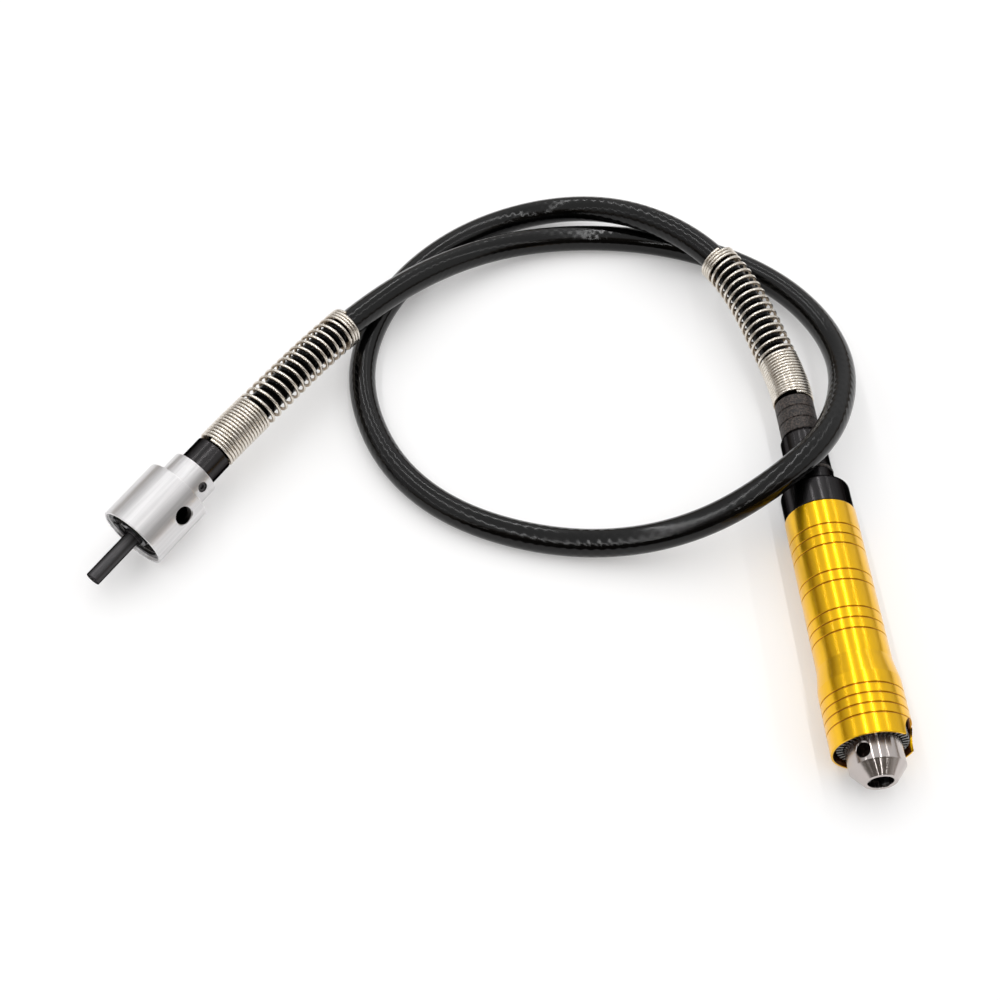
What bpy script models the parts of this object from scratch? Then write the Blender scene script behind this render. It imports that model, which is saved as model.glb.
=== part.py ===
"""Drill-driven flexible shaft: a shank and bearing cup, a hose with a turning core, and a chuck handpiece.

Units are metres, +Z is up and the tool lies on the floor at Z = 0. The coupling and the handpiece each have
an empty on their own axis, and their pieces are turned about that empty's local Z. Distances along a local Z
are called "along": on the coupling they run from the cup's mouth to the hose, on the handpiece from the rear
edge of the grip to the chuck's nose.
"""

import math

import bmesh
import bpy
import numpy as np
from mathutils import Matrix, Vector

# Where the two ends lie
ASSEMBLY_SHIFT = (0.01097, 0.01441, 0.0)
HANDPIECE_XY = (0.1224, -0.0283)
COUPLING_XY = (-0.1431, -0.0184)
COUPLING_HEADING_DEG = 49.5
COUPLING_RISE_DEG = 5.95

# Clearances
SEAT_GAP = 0.0003
SLIDE_GAP = 0.0002
RUNNING_GAP = 0.0005

# Facets
FINE_SIDES = 28
PLAIN_SIDES = 20
GRIP_SIDES = 24
SMALL_SIDES = 16
SCREW_SIDES = 12

# Grip sleeve
GRIP_LENGTH = 0.0990
GRIP_REAR_RADIUS = 0.01375
GRIP_FRONT_RADIUS = 0.0150
GRIP_FRONT_LENGTH = 0.0245
GRIP_CONE_LENGTH = 0.0085
GRIP_EDGE_BEVEL = 0.0005
GROOVE_WIDTH = 0.0010
GROOVE_DEPTH = 0.00045
REAR_GROOVE_INSET = 0.0110
CONE_GROOVE_INSET = 0.0092
REAR_GROOVE_PITCH = 0.0045
FRONT_GROOVE_INSET = 0.0076
FRONT_GROOVE_PITCH = 0.0039
MOUTH_WALL = 0.0014
MOUTH_FLARE = 0.0006
MOUTH_FLARE_LENGTH = 0.0024
CHUCK_CAVITY_DEPTH = 0.0210
BEARING_SHOULDER_WALL = 0.0085
BEARING_SHOULDER_RADIUS = 0.0095
KEY_NOTCH_WIDTH = 0.0154
KEY_NOTCH_DEPTH = 0.0085
KEY_NOTCH_ANGLE_DEG = 22.0

# Handpiece bearings, an 8 x 22 x 7 size
BEARING_BORE_RADIUS = 0.0043
BEARING_OUTER_RADIUS = 0.0110
BEARING_WIDTH = 0.0070
RACE_WALL = 0.0017
BALL_COUNT = 7
CAGE_SECTION = 0.0009

# Rear cap and neck
CAP_RADIUS = 0.0134
CAP_LENGTH = 0.0125
CAP_SHOULDER_ROUND = 0.0030
CAP_BOSS_RADIUS = 0.0090
CAP_BOSS_LENGTH = 0.0069
CAP_BORE_RADIUS = 0.0060
CAP_SPIGOT_LENGTH = 0.0142
CAP_SPIGOT_WALL = 0.0024
O_RING_SECTION = 0.00075
O_RING_RADIUS = 0.0084
NECK_RADIUS = 0.0088
NECK_LENGTH = 0.0180
NECK_LIP_RADIUS = 0.0080
NECK_LIP_LENGTH = 0.0017
NECK_SPIGOT_LENGTH = 0.0137
COLLAR_RADIUS = 0.00785
COLLAR_LENGTH = 0.0173
COLLAR_GROOVES = 2
COLLAR_GROOVE_WIDTH = 0.0009
COLLAR_GROOVE_DEPTH = 0.0005
COLLAR_EDGE_ROUND = 0.0006

# Spindle
SPINDLE_RADIUS = 0.0040
SPINDLE_COLLAR_RADIUS = 0.0065
SPINDLE_TAIL = 0.0040
SPINDLE_THREAD_LENGTH = 0.0095
CORE_SOCKET_DEPTH = 0.0140
CIRCLIP_THICKNESS = 0.0008
CIRCLIP_GROOVE_DEPTH = 0.0004
CIRCLIP_WIDTH = 0.0018
CIRCLIP_GAP_DEG = 50.0

# Chuck
NOSE_OVERHANG = 0.0120
CHUCK_CLEARANCE = 0.0035
NOSE_RADIUS = 0.0059
NOSE_CONE_LENGTH = 0.0050
TOOL_BORE_RADIUS = 0.00345
TOOL_BORE_DEPTH = 0.0195
CHUCK_WEB = 0.0020
CHUCK_FLANGE_LENGTH = 0.0020
RING_CLEARANCE = 0.0008
RING_WALL = 0.0006
RING_LENGTH = 0.0169
RING_RECESS = 0.0016
RING_LIP = 0.0016
RING_TEETH = 36
TOOTH_DEPTH = 0.0012
TOOTH_GAP_WIDTH = 0.0012
NUT_LENGTH = 0.0034
NUT_GROOVE_DEPTH = 0.0017
KEY_HOLE_RADIUS = 0.0026
KEY_HOLE_DEPTH = 0.0040
KEY_HOLE_SETBACK = 0.0091
KEY_HOLE_ANGLE_DEG = 127.0
CHUCK_FOLD = 3
JAW_RADIUS = 0.0020
JAW_TAIL_INSET = 0.0023
JAW_AXIS_RADIUS_AT_NOSE = 0.0025
JAW_LENGTH = 0.0270
JAW_TIP_RECESS = 0.0010
JAW_OPEN_RADIUS = 0.00325
JAW_WEDGE_HALF_DEG = 60.0

# Coupling cup and shank, with an 8 x 24 x 8 bearing
CUP_RADIUS = 0.0140
CUP_LENGTH = 0.0264
CUP_NECK_RADIUS = 0.01005
CUP_NECK_LENGTH = 0.0099
CUP_EDGE_BEVEL = 0.0004
CUP_WALL = 0.0020
CUP_BEARING_LEDGE = 0.0010
CUP_BACK_WALL = 0.0024
CUP_BEARING_WIDTH = 0.0080
CUP_BEARING_RECESS = 0.0022
CUP_BORE_SHARE = 0.3583
CUP_BALL_SHARE = 0.4935
ACCESS_HOLE_RADIUS = 0.0035
ACCESS_HOLE_ALONG = 0.0174
NECK_HOLE_RADIUS = 0.0021
NECK_HOLE_ALONG = 0.0315
HOLES_ANGLE_DEG = 160.0
SHANK_RADIUS = 0.0030
SHANK_STICK_OUT = 0.0220
SHANK_CENTRE_RADIUS = 0.0014
SHANK_CENTRE_DEPTH = 0.0035
SHANK_BOSS_RADIUS = 0.0070
SHANK_BOSS_LENGTH = 0.0122
SHANK_SCREW_RADIUS = 0.0020
SHANK_SCREW_LENGTH = 0.0040
SPINDLE_SCREW_RADIUS = 0.0010
FERRULE_SCREW_LENGTH = 0.0011

# Hose, core and springs
HOSE_RADIUS = 0.0056
HOSE_WALL = 0.0020
HOSE_STEP = 0.0262
HOSE_BEVEL_RESOLUTION = 3
CORE_RADIUS = 0.0020
CORE_BEVEL_RESOLUTION = 2
FERRULE_RADIUS = 0.0080
FERRULE_REACH = 0.0111
FERRULE_INSERT = 0.0093
FERRULE_FLANGE = 0.0030
SPRING_OUTER_RADIUS = 0.0084
SPRING_WIRE_RADIUS = 0.00042
CLOSE_PITCH = 0.00147
OPEN_PITCH = 0.0038
CLOSE_TURNS = 15.5
OPEN_TURNS = 14.0
END_TURNS = 3.5
POINTS_PER_TURN = 8
LEAD_OUT = 0.0030

# The hose's route over the floor, from the coupling's spring to the handpiece's spring
HOSE_ROUTE = [
    (-0.0926, 0.0402, 0.0212),
    (-0.0751, 0.0617, 0.0212),
    (-0.0573, 0.0826, 0.0196),
    (-0.0384, 0.1016, 0.0173),
    (-0.0170, 0.1194, 0.0129),
    (0.0072, 0.1322, 0.0093),
    (0.0342, 0.1385, 0.0068),
    (0.0618, 0.1380, 0.0058),
    (0.0886, 0.1314, 0.0057),
    (0.1124, 0.1184, 0.0064),
    (0.1312, 0.0986, 0.0087),
    (0.1423, 0.0736, 0.0126),
    (0.1444, 0.0466, 0.0182),
    (0.1380, 0.0212, 0.0246),
    (0.1256, -0.0006, 0.0296),
    (0.1066, -0.0174, 0.0292),
    (0.0834, -0.0270, 0.0204),
    (0.0574, -0.0300, 0.0116),
    (0.0306, -0.0276, 0.0068),
    (0.0040, -0.0204, 0.0057),
    (-0.0204, -0.0074, 0.0057),
    (-0.0394, 0.0126, 0.0057),
    (-0.0508, 0.0384, 0.0057),
    (-0.0540, 0.0664, 0.0057),
    (-0.0480, 0.0934, 0.0057),
    (-0.0346, 0.1173, 0.0057),
    (-0.0158, 0.1367, 0.0057),
    (0.0080, 0.1506, 0.0060),
    (0.0349, 0.1551, 0.0086),
    (0.0603, 0.1460, 0.0156),
    (0.0820, 0.1301, 0.0200),
    (0.0997, 0.1105, 0.0202),
    (0.1113, 0.0858, 0.0187),
    (0.1181, 0.0590, 0.0165),
]

# Colour, roughness and metallic value of each finish
GOLD_ANODISED = ((0.86, 0.60, 0.06), 0.25, 1.0)
TURNED_ALUMINIUM = ((0.80, 0.80, 0.80), 0.30, 1.0)
POLISHED_STEEL = ((0.62, 0.61, 0.60), 0.22, 1.0)
BLACK_OXIDE = ((0.035, 0.035, 0.038), 0.42, 0.6)
BLACK_PLASTIC = ((0.020, 0.020, 0.022), 0.35, 0.0)
BLACK_RUBBER = ((0.030, 0.028, 0.027), 0.75, 0.0)
BLACK_VINYL = ((0.012, 0.012, 0.013), 0.22, 0.0)
NICKEL_WIRE = ((0.72, 0.68, 0.60), 0.22, 1.0)

# Positions along the handpiece that several pieces share
GRIP_BORE_RADIUS = BEARING_OUTER_RADIUS + SEAT_GAP
BALL_RADIUS = (BEARING_OUTER_RADIUS - BEARING_BORE_RADIUS) / 2 - RACE_WALL
CAVITY_RADIUS = GRIP_FRONT_RADIUS - MOUTH_WALL
CAVITY_START = GRIP_LENGTH - CHUCK_CAVITY_DEPTH
CONE_END = GRIP_LENGTH - GRIP_FRONT_LENGTH
CONE_START = CONE_END - GRIP_CONE_LENGTH
SHOULDER_START = CAVITY_START - BEARING_SHOULDER_WALL
REAR_BEARING_START = CAP_SPIGOT_LENGTH + SEAT_GAP
REAR_BEARING_END = REAR_BEARING_START + BEARING_WIDTH
FRONT_BEARING_END = SHOULDER_START - SEAT_GAP
FRONT_BEARING_START = FRONT_BEARING_END - BEARING_WIDTH
CAP_REAR = -CAP_LENGTH
BOSS_REAR = CAP_REAR - CAP_BOSS_LENGTH
O_RING_ALONG = BOSS_REAR - SEAT_GAP - O_RING_SECTION
NECK_FRONT = O_RING_ALONG - O_RING_SECTION - SEAT_GAP
NECK_REAR = NECK_FRONT - NECK_LENGTH
HOSE_BORE_RADIUS = HOSE_RADIUS + SEAT_GAP
HOSE_END = NECK_FRONT - FERRULE_FLANGE
CORE_BORE_RADIUS = CORE_RADIUS + SEAT_GAP
COLLAR_FRONT = NECK_REAR - SEAT_GAP
COLLAR_REAR = COLLAR_FRONT - COLLAR_LENGTH
NOSE = GRIP_LENGTH + NOSE_OVERHANG
RING_FRONT = GRIP_LENGTH - RING_RECESS
RING_REAR = RING_FRONT - RING_LENGTH
CHUCK_RADIUS = CAVITY_RADIUS - CHUCK_CLEARANCE
RING_RADIUS = CAVITY_RADIUS - RING_CLEARANCE
RING_BORE_RADIUS = RING_RADIUS - RING_WALL
NUT_FRONT = RING_FRONT - RING_LIP - SLIDE_GAP
NUT_REAR = NUT_FRONT - NUT_LENGTH
CHUCK_REAR = RING_REAR - RUNNING_GAP
CHUCK_FLANGE_RADIUS = RING_BORE_RADIUS - SEAT_GAP
TOOL_BORE_END = NOSE - TOOL_BORE_DEPTH
SPINDLE_FRONT = CHUCK_REAR + SPINDLE_THREAD_LENGTH
JAW_TIP = NOSE - JAW_TIP_RECESS
JAW_REAR = JAW_TIP - JAW_LENGTH
JAW_TAIL_AXIS_RADIUS = RING_BORE_RADIUS - JAW_TAIL_INSET
JAW_TILT = math.atan2(JAW_TAIL_AXIS_RADIUS - JAW_AXIS_RADIUS_AT_NOSE, NOSE - JAW_REAR)
JAW_CHANNEL_RADIUS = JAW_RADIUS + SLIDE_GAP

# Positions along the coupling that several pieces share
CUP_BEARING_RADIUS = CUP_RADIUS - CUP_WALL
CUP_CAVITY_RADIUS = CUP_BEARING_RADIUS - CUP_BEARING_LEDGE
CUP_BORE_RADIUS = CUP_BEARING_RADIUS * CUP_BORE_SHARE
CUP_BALL_RADIUS = (CUP_BEARING_RADIUS - CUP_BORE_RADIUS) / 2 * CUP_BALL_SHARE
CUP_BEARING_END = CUP_BEARING_RECESS + CUP_BEARING_WIDTH
CUP_REAR = CUP_LENGTH + CUP_NECK_LENGTH
BOSS_START = CUP_BEARING_END + RUNNING_GAP
BOSS_END = BOSS_START + SHANK_BOSS_LENGTH
CORE_START = BOSS_START + SEAT_GAP
FERRULE_START = CUP_REAR - FERRULE_INSERT
FERRULE_END = CUP_REAR + FERRULE_REACH
HOSE_START = FERRULE_START + FERRULE_FLANGE + SEAT_GAP


def clear_scene():
    for obj in list(bpy.data.objects):
        bpy.data.objects.remove(obj, do_unlink=True)


def add_empty(name, location, rotation, parent=None):
    empty = bpy.data.objects.new(name, None)
    empty.location = location
    empty.rotation_euler = rotation
    empty.parent = parent
    bpy.context.scene.collection.objects.link(empty)
    return empty


def paint(obj, finish):
    colour, roughness, metallic = finish
    material = bpy.data.materials.new(obj.name)
    material.use_nodes = True
    shader = material.node_tree.nodes["Principled BSDF"]
    shader.inputs["Base Color"].default_value = (*colour, 1.0)
    shader.inputs["Roughness"].default_value = roughness
    shader.inputs["Metallic"].default_value = metallic
    obj.data.materials.append(material)


def add_mesh(name, mesh_bm, parent, finish=None, location=(0, 0, 0), rotation=(0, 0, 0)):
    """Turns a bmesh into a named, smooth-shaded object. Without a finish it is a hidden cutter."""
    bmesh.ops.recalc_face_normals(mesh_bm, faces=mesh_bm.faces)
    mesh = bpy.data.meshes.new(name)
    mesh_bm.to_mesh(mesh)
    mesh_bm.free()
    mesh.shade_smooth()
    mesh.set_sharp_from_angle(angle=math.radians(32))
    obj = bpy.data.objects.new(name, mesh)
    obj.parent = parent
    obj.location = location
    obj.rotation_euler = rotation
    bpy.context.scene.collection.objects.link(obj)
    if finish is None:
        obj.hide_render = True
        obj.display_type = "WIRE"
    else:
        paint(obj, finish)
    return obj


def spun(outline, sides):
    """A closed solid: an outline of (radius, along) pairs turned once about Z. An outline that starts and ends
    on the axis is left open there."""
    mesh_bm = bmesh.new()
    verts = [mesh_bm.verts.new((radius, 0.0, along)) for radius, along in outline]
    edges = [mesh_bm.edges.new(pair) for pair in zip(verts, verts[1:])]
    if outline[0][0] > 0.0:
        edges.append(mesh_bm.edges.new((verts[-1], verts[0])))
    bmesh.ops.spin(
        mesh_bm,
        geom=verts + edges,
        cent=(0, 0, 0),
        axis=(0, 0, 1),
        angle=2 * math.pi,
        steps=sides,
        use_merge=True,
    )
    bmesh.ops.remove_doubles(mesh_bm, verts=mesh_bm.verts, dist=1e-7)
    return mesh_bm


def lathe(name, outline, parent, finish=None, sides=PLAIN_SIDES, location=(0, 0, 0), rotation=(0, 0, 0)):
    return add_mesh(name, spun(outline, sides), parent, finish, location, rotation)


def boolean(target, other, operation="DIFFERENCE"):
    modifier = target.modifiers.new(operation.lower(), "BOOLEAN")
    modifier.operation = operation
    modifier.solver = "EXACT"
    modifier.object = other


def ring_outline(inner, outer, start, end):
    return [(inner, start), (outer, start), (outer, end), (inner, end)]


def arc_points(centre, radius, from_deg, to_deg, steps):
    """(radius, along) points on an arc, with 0 degrees pointing outwards and 90 degrees along the axis."""
    angles = np.radians(np.linspace(from_deg, to_deg, steps + 1))
    return [(centre[0] + radius * math.cos(a), centre[1] + radius * math.sin(a)) for a in angles]


def groove_points(surface, middles, width, depth):
    """Outline points of V grooves in a cylinder, each given by its middle."""
    points = []
    for middle in middles:
        points.append((surface, middle - width / 2))
        points.append((surface - depth, middle))
        points.append((surface, middle + width / 2))
    return points


def radial_rotation(angle):
    """Turns a piece's local Z to point outwards at this angle about its parent's Z."""
    return (0.0, math.pi / 2, angle)


def radial_location(angle, radius, along):
    return (radius * math.cos(angle), radius * math.sin(angle), along)


def c_clip(name, inner, outer, start, parent, finish):
    """A flat retaining ring with a gap at the top."""
    mesh_bm = bmesh.new()
    corners = ring_outline(inner, outer, start, start + CIRCLIP_THICKNESS)
    turn = Matrix.Rotation(math.radians(90 + CIRCLIP_GAP_DEG / 2), 4, "Z")
    verts = [mesh_bm.verts.new(turn @ Vector((radius, 0.0, along))) for radius, along in corners]
    face = mesh_bm.faces.new(verts)
    bmesh.ops.spin(
        mesh_bm,
        geom=[face] + list(face.edges) + verts,
        cent=(0, 0, 0),
        axis=(0, 0, 1),
        angle=math.radians(360 - CIRCLIP_GAP_DEG),
        steps=SMALL_SIDES,
    )
    return add_mesh(name, mesh_bm, parent, finish)


def set_screw(name, radius, length, parent, angle, bottom_radius, along):
    """A grub screw that points outwards, with a round socket in its outer end."""
    socket = radius * 0.55
    depth = length * 0.5
    floor = length - depth
    outline = [(0, 0), (radius, 0), (radius, length), (socket, length), (socket, floor), (0, floor)]
    place = radial_location(angle, bottom_radius, along)
    return lathe(name, outline, parent, BLACK_OXIDE, SCREW_SIDES, place, radial_rotation(angle))


def radial_hole(name, radius, inner, outer, parent, angle, along, sides=SMALL_SIDES):
    outline = [(0, 0), (radius, 0), (radius, outer - inner), (0, outer - inner)]
    place = radial_location(angle, inner, along)
    return lathe(name, outline, parent, None, sides, place, radial_rotation(angle))


def bearing(prefix, parent, bore, outer, start, width, ball, ball_sides):
    """Outer ring, inner ring, and a cage with its balls, about the parent's Z."""
    pitch = (bore + outer) / 2
    inner_wall = pitch - ball - SLIDE_GAP - bore
    outer_wall = outer - pitch - ball - SLIDE_GAP
    end = start + width
    lathe(f"{prefix}_outer_ring", ring_outline(outer - outer_wall, outer, start, end), parent, POLISHED_STEEL)
    lathe(f"{prefix}_inner_ring", ring_outline(bore, bore + inner_wall, start, end), parent, POLISHED_STEEL)
    middle = (start + end) / 2
    half = CAGE_SECTION / 2
    cage_outline = ring_outline(pitch - half, pitch + half, middle - half, middle + half)
    cage = lathe(f"{prefix}_ball_cage", cage_outline, parent, POLISHED_STEEL, BALL_COUNT * 2)
    balls_bm = bmesh.new()
    for index in range(BALL_COUNT):
        place = radial_location(2 * math.pi * index / BALL_COUNT, pitch, middle)
        bmesh.ops.create_uvsphere(
            balls_bm,
            u_segments=ball_sides,
            v_segments=ball_sides - 2,
            radius=ball,
            matrix=Matrix.Translation(place),
        )
    boolean(cage, add_mesh(f"{prefix}_balls", balls_bm, parent), "UNION")


def clamped_spline(points, start_direction, end_direction):
    """Slopes of the cubic curve through these points with a smooth bend at each, by chord length."""
    spans = np.linalg.norm(np.diff(points, axis=0), axis=1)
    count = len(points)
    matrix = np.eye(count)
    right = np.zeros((count, 3))
    right[0] = start_direction
    right[-1] = end_direction
    for i in range(1, count - 1):
        before, after = spans[i - 1], spans[i]
        matrix[i, i - 1 : i + 2] = after, 2 * (before + after), before
        rise_in = (points[i] - points[i - 1]) / before
        rise_out = (points[i + 1] - points[i]) / after
        right[i] = 3 * (after * rise_in + before * rise_out)
    return spans, np.linalg.solve(matrix, right)


def spline_points(points, spans, slopes, per_span):
    """Points of that curve, this many to each span, with the last route point at the end."""
    found = []
    for i, span in enumerate(spans):
        for u in np.arange(per_span) / per_span:
            found.append(
                (2 * u**3 - 3 * u**2 + 1) * points[i]
                + (u**3 - 2 * u**2 + u) * span * slopes[i]
                + (3 * u**2 - 2 * u**3) * points[i + 1]
                + (u**3 - u**2) * span * slopes[i + 1]
            )
    return np.array(found + [points[-1]])


class Centreline:
    """The free stretch of the hose, read by distance from the coupling's lead-out."""

    def __init__(self, route, start, start_direction, end, end_direction):
        points = np.array([start, *route, end])
        spans, slopes = clamped_spline(points, start_direction, end_direction)
        self.points = spline_points(points, spans, slopes, 60)
        steps = np.linalg.norm(np.diff(self.points, axis=0), axis=1)
        self.distances = np.concatenate([[0.0], np.cumsum(steps)])
        self.length = self.distances[-1]
        self.directions = (start_direction, end_direction)

    def at(self, distance):
        """The point at this distance. Before the start and past the end the line runs straight on."""
        inside = min(max(distance, 0.0), self.length)
        point = np.array([np.interp(inside, self.distances, self.points[:, i]) for i in range(3)])
        direction = self.directions[0] if distance < 0 else self.directions[1]
        return point + (distance - inside) * direction

    def free_points(self):
        """Evenly spaced points for the hose's tube."""
        count = max(2, round(self.length / HOSE_STEP))
        return [self.at(self.length * i / count) for i in range(count + 1)]


def tube(name, points, radius, resolution, finish, caps=True):
    """A round tube along straight runs between these world points."""
    curve = bpy.data.curves.new(name, "CURVE")
    curve.dimensions = "3D"
    curve.bevel_depth = radius
    curve.bevel_resolution = resolution
    curve.use_fill_caps = caps
    spline = curve.splines.new("POLY")
    spline.points.add(len(points) - 1)
    for place, point in zip(spline.points, points):
        place.co = (*point, 1.0)
    obj = bpy.data.objects.new(name, curve)
    bpy.context.scene.collection.objects.link(obj)
    paint(obj, finish)
    return obj


def spring_advance(turns):
    """How far along the spring lies after this many turns from its seat."""
    close = min(turns, CLOSE_TURNS)
    opened = min(max(turns - CLOSE_TURNS, 0.0), OPEN_TURNS)
    end = max(turns - CLOSE_TURNS - OPEN_TURNS, 0.0)
    return (close + end) * CLOSE_PITCH + opened * OPEN_PITCH


def spring_points(line, seat, sign):
    """A helix about the centreline that starts at distance seat and runs along it, forwards or backwards."""
    coil_radius = SPRING_OUTER_RADIUS - SPRING_WIRE_RADIUS
    count = round((CLOSE_TURNS + OPEN_TURNS + END_TURNS) * POINTS_PER_TURN)
    points = []
    side = np.array([0.0, 0.0, 1.0])
    for i in range(count + 1):
        turns = i / POINTS_PER_TURN
        distance = seat + sign * (SPRING_WIRE_RADIUS + spring_advance(turns))
        middle = line.at(distance)
        ahead = line.at(distance + 0.0005) - line.at(distance - 0.0005)
        ahead /= np.linalg.norm(ahead)
        side = side - ahead * side.dot(ahead)
        side /= np.linalg.norm(side)
        across = np.cross(ahead, side)
        angle = sign * 2 * math.pi * turns
        points.append(middle + coil_radius * (math.cos(angle) * side + math.sin(angle) * across))
    return points


def print_least_gap(name, points):
    """Prints the least gap of a spring to itself, from the distances between points of different turns."""
    places = np.array(points)
    apart = np.linalg.norm(places[:, None] - places[None], axis=2)
    index = np.arange(len(places))
    near = np.abs(index[:, None] - index[None]) < POINTS_PER_TURN // 2
    apart[near] = np.inf
    print(f"{name}: least gap to itself {1000 * (apart.min() - 2 * SPRING_WIRE_RADIUS):.2f} mm")


def make_grip(frame):
    rear_room = CONE_START - CONE_GROOVE_INSET
    first_group = [REAR_GROOVE_INSET + i * REAR_GROOVE_PITCH for i in range(3)]
    last_group = [rear_room - i * REAR_GROOVE_PITCH for i in (2, 1, 0)]
    centre = (first_group[1] + last_group[1]) / 2
    middle_group = [centre - REAR_GROOVE_PITCH / 2, centre + REAR_GROOVE_PITCH / 2]
    front_group = [GRIP_LENGTH - FRONT_GROOVE_INSET - i * FRONT_GROOVE_PITCH for i in (3, 2, 1, 0)]
    rear_middles = first_group + middle_group + last_group
    outline = [(GRIP_REAR_RADIUS - GRIP_EDGE_BEVEL, 0.0), (GRIP_REAR_RADIUS, GRIP_EDGE_BEVEL)]
    outline += groove_points(GRIP_REAR_RADIUS, rear_middles, GROOVE_WIDTH, GROOVE_DEPTH)
    outline += [(GRIP_REAR_RADIUS, CONE_START), (GRIP_FRONT_RADIUS, CONE_END)]
    outline += groove_points(GRIP_FRONT_RADIUS, front_group, GROOVE_WIDTH, GROOVE_DEPTH)
    outline += [
        (GRIP_FRONT_RADIUS, GRIP_LENGTH - GRIP_EDGE_BEVEL),
        (GRIP_FRONT_RADIUS - GRIP_EDGE_BEVEL, GRIP_LENGTH),
        (CAVITY_RADIUS + MOUTH_FLARE, GRIP_LENGTH),
        (CAVITY_RADIUS, GRIP_LENGTH - MOUTH_FLARE_LENGTH),
        (CAVITY_RADIUS, CAVITY_START),
        (BEARING_SHOULDER_RADIUS, CAVITY_START),
        (BEARING_SHOULDER_RADIUS, SHOULDER_START),
        (GRIP_BORE_RADIUS, SHOULDER_START),
        (GRIP_BORE_RADIUS, 0.0),
    ]
    grip = lathe("handle_sleeve", outline, frame, GOLD_ANODISED, GRIP_SIDES)
    boolean(grip, key_notch_cutter(frame))


def key_notch_cutter(frame):
    """A slot with a round end, cut through the mouth's wall from the rim for the chuck key."""
    half = KEY_NOTCH_WIDTH / 2
    end = GRIP_LENGTH - KEY_NOTCH_DEPTH + half
    rim = GRIP_LENGTH + half
    outline = [(half, rim), (-half, rim)]
    outline += [(half * math.cos(a), end + half * math.sin(a)) for a in np.linspace(-math.pi, 0, 9)]
    mesh_bm = bmesh.new()
    floor = [mesh_bm.verts.new((CHUCK_RADIUS, across, along)) for across, along in outline]
    face = mesh_bm.faces.new(floor)
    moved = bmesh.ops.extrude_face_region(mesh_bm, geom=[face])["geom"]
    verts = [item for item in moved if isinstance(item, bmesh.types.BMVert)]
    bmesh.ops.translate(mesh_bm, verts=verts, vec=(GRIP_FRONT_RADIUS, 0, 0))
    return add_mesh("key_notch_cutter", mesh_bm, frame, rotation=(0, 0, math.radians(KEY_NOTCH_ANGLE_DEG)))


def make_rear_cap(frame):
    shoulder_centre = (CAP_RADIUS - CAP_SHOULDER_ROUND, CAP_REAR + CAP_SHOULDER_ROUND)
    spigot_radius = GRIP_BORE_RADIUS - SEAT_GAP
    spigot_bore = spigot_radius - CAP_SPIGOT_WALL
    step = CORE_SOCKET_DEPTH - SPINDLE_TAIL - CIRCLIP_WIDTH - CIRCLIP_THICKNESS
    outline = [(CAP_BORE_RADIUS, BOSS_REAR), (CAP_BOSS_RADIUS, BOSS_REAR), (CAP_BOSS_RADIUS, CAP_REAR)]
    outline += arc_points(shoulder_centre, CAP_SHOULDER_ROUND, -90, 0, 4)
    outline += [
        (CAP_RADIUS, -SEAT_GAP),
        (spigot_radius, -SEAT_GAP),
        (spigot_radius, CAP_SPIGOT_LENGTH),
        (spigot_bore, CAP_SPIGOT_LENGTH),
        (spigot_bore, step),
        (CAP_BORE_RADIUS, step),
    ]
    lathe("rear_cap", outline, frame, BLACK_PLASTIC, FINE_SIDES)


def make_neck(frame):
    seat_radius = O_RING_RADIUS - O_RING_SECTION - SEAT_GAP
    seat_end = BOSS_REAR - SEAT_GAP
    spigot_radius = CAP_BORE_RADIUS - SEAT_GAP
    outline = [
        (HOSE_BORE_RADIUS, NECK_REAR),
        (NECK_LIP_RADIUS, NECK_REAR),
        (NECK_RADIUS, NECK_REAR + NECK_LIP_LENGTH),
        (NECK_RADIUS, NECK_FRONT),
        (seat_radius, NECK_FRONT),
        (seat_radius, seat_end),
        (spigot_radius, seat_end),
        (spigot_radius, seat_end + NECK_SPIGOT_LENGTH),
        (CORE_BORE_RADIUS, seat_end + NECK_SPIGOT_LENGTH),
        (CORE_BORE_RADIUS, HOSE_END),
        (HOSE_BORE_RADIUS, HOSE_END),
    ]
    lathe("hose_neck", outline, frame, BLACK_PLASTIC)
    o_ring = arc_points((O_RING_RADIUS, O_RING_ALONG), O_RING_SECTION, 0, 360, 8)[:-1]
    lathe("neck_o_ring", o_ring, frame, BLACK_RUBBER)


def make_collar(frame):
    pitch = COLLAR_LENGTH / (COLLAR_GROOVES + 1)
    middles = [COLLAR_REAR + pitch * (i + 1) for i in range(COLLAR_GROOVES)]
    round_centre = (COLLAR_RADIUS - COLLAR_EDGE_ROUND, COLLAR_REAR + COLLAR_EDGE_ROUND)
    outline = [(HOSE_BORE_RADIUS, COLLAR_REAR)]
    outline += arc_points(round_centre, COLLAR_EDGE_ROUND, -90, 0, 2)
    outline += groove_points(COLLAR_RADIUS, middles, COLLAR_GROOVE_WIDTH, COLLAR_GROOVE_DEPTH)
    outline += [(COLLAR_RADIUS, COLLAR_FRONT), (HOSE_BORE_RADIUS, COLLAR_FRONT)]
    lathe("ribbed_collar", outline, frame, BLACK_RUBBER)


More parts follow.
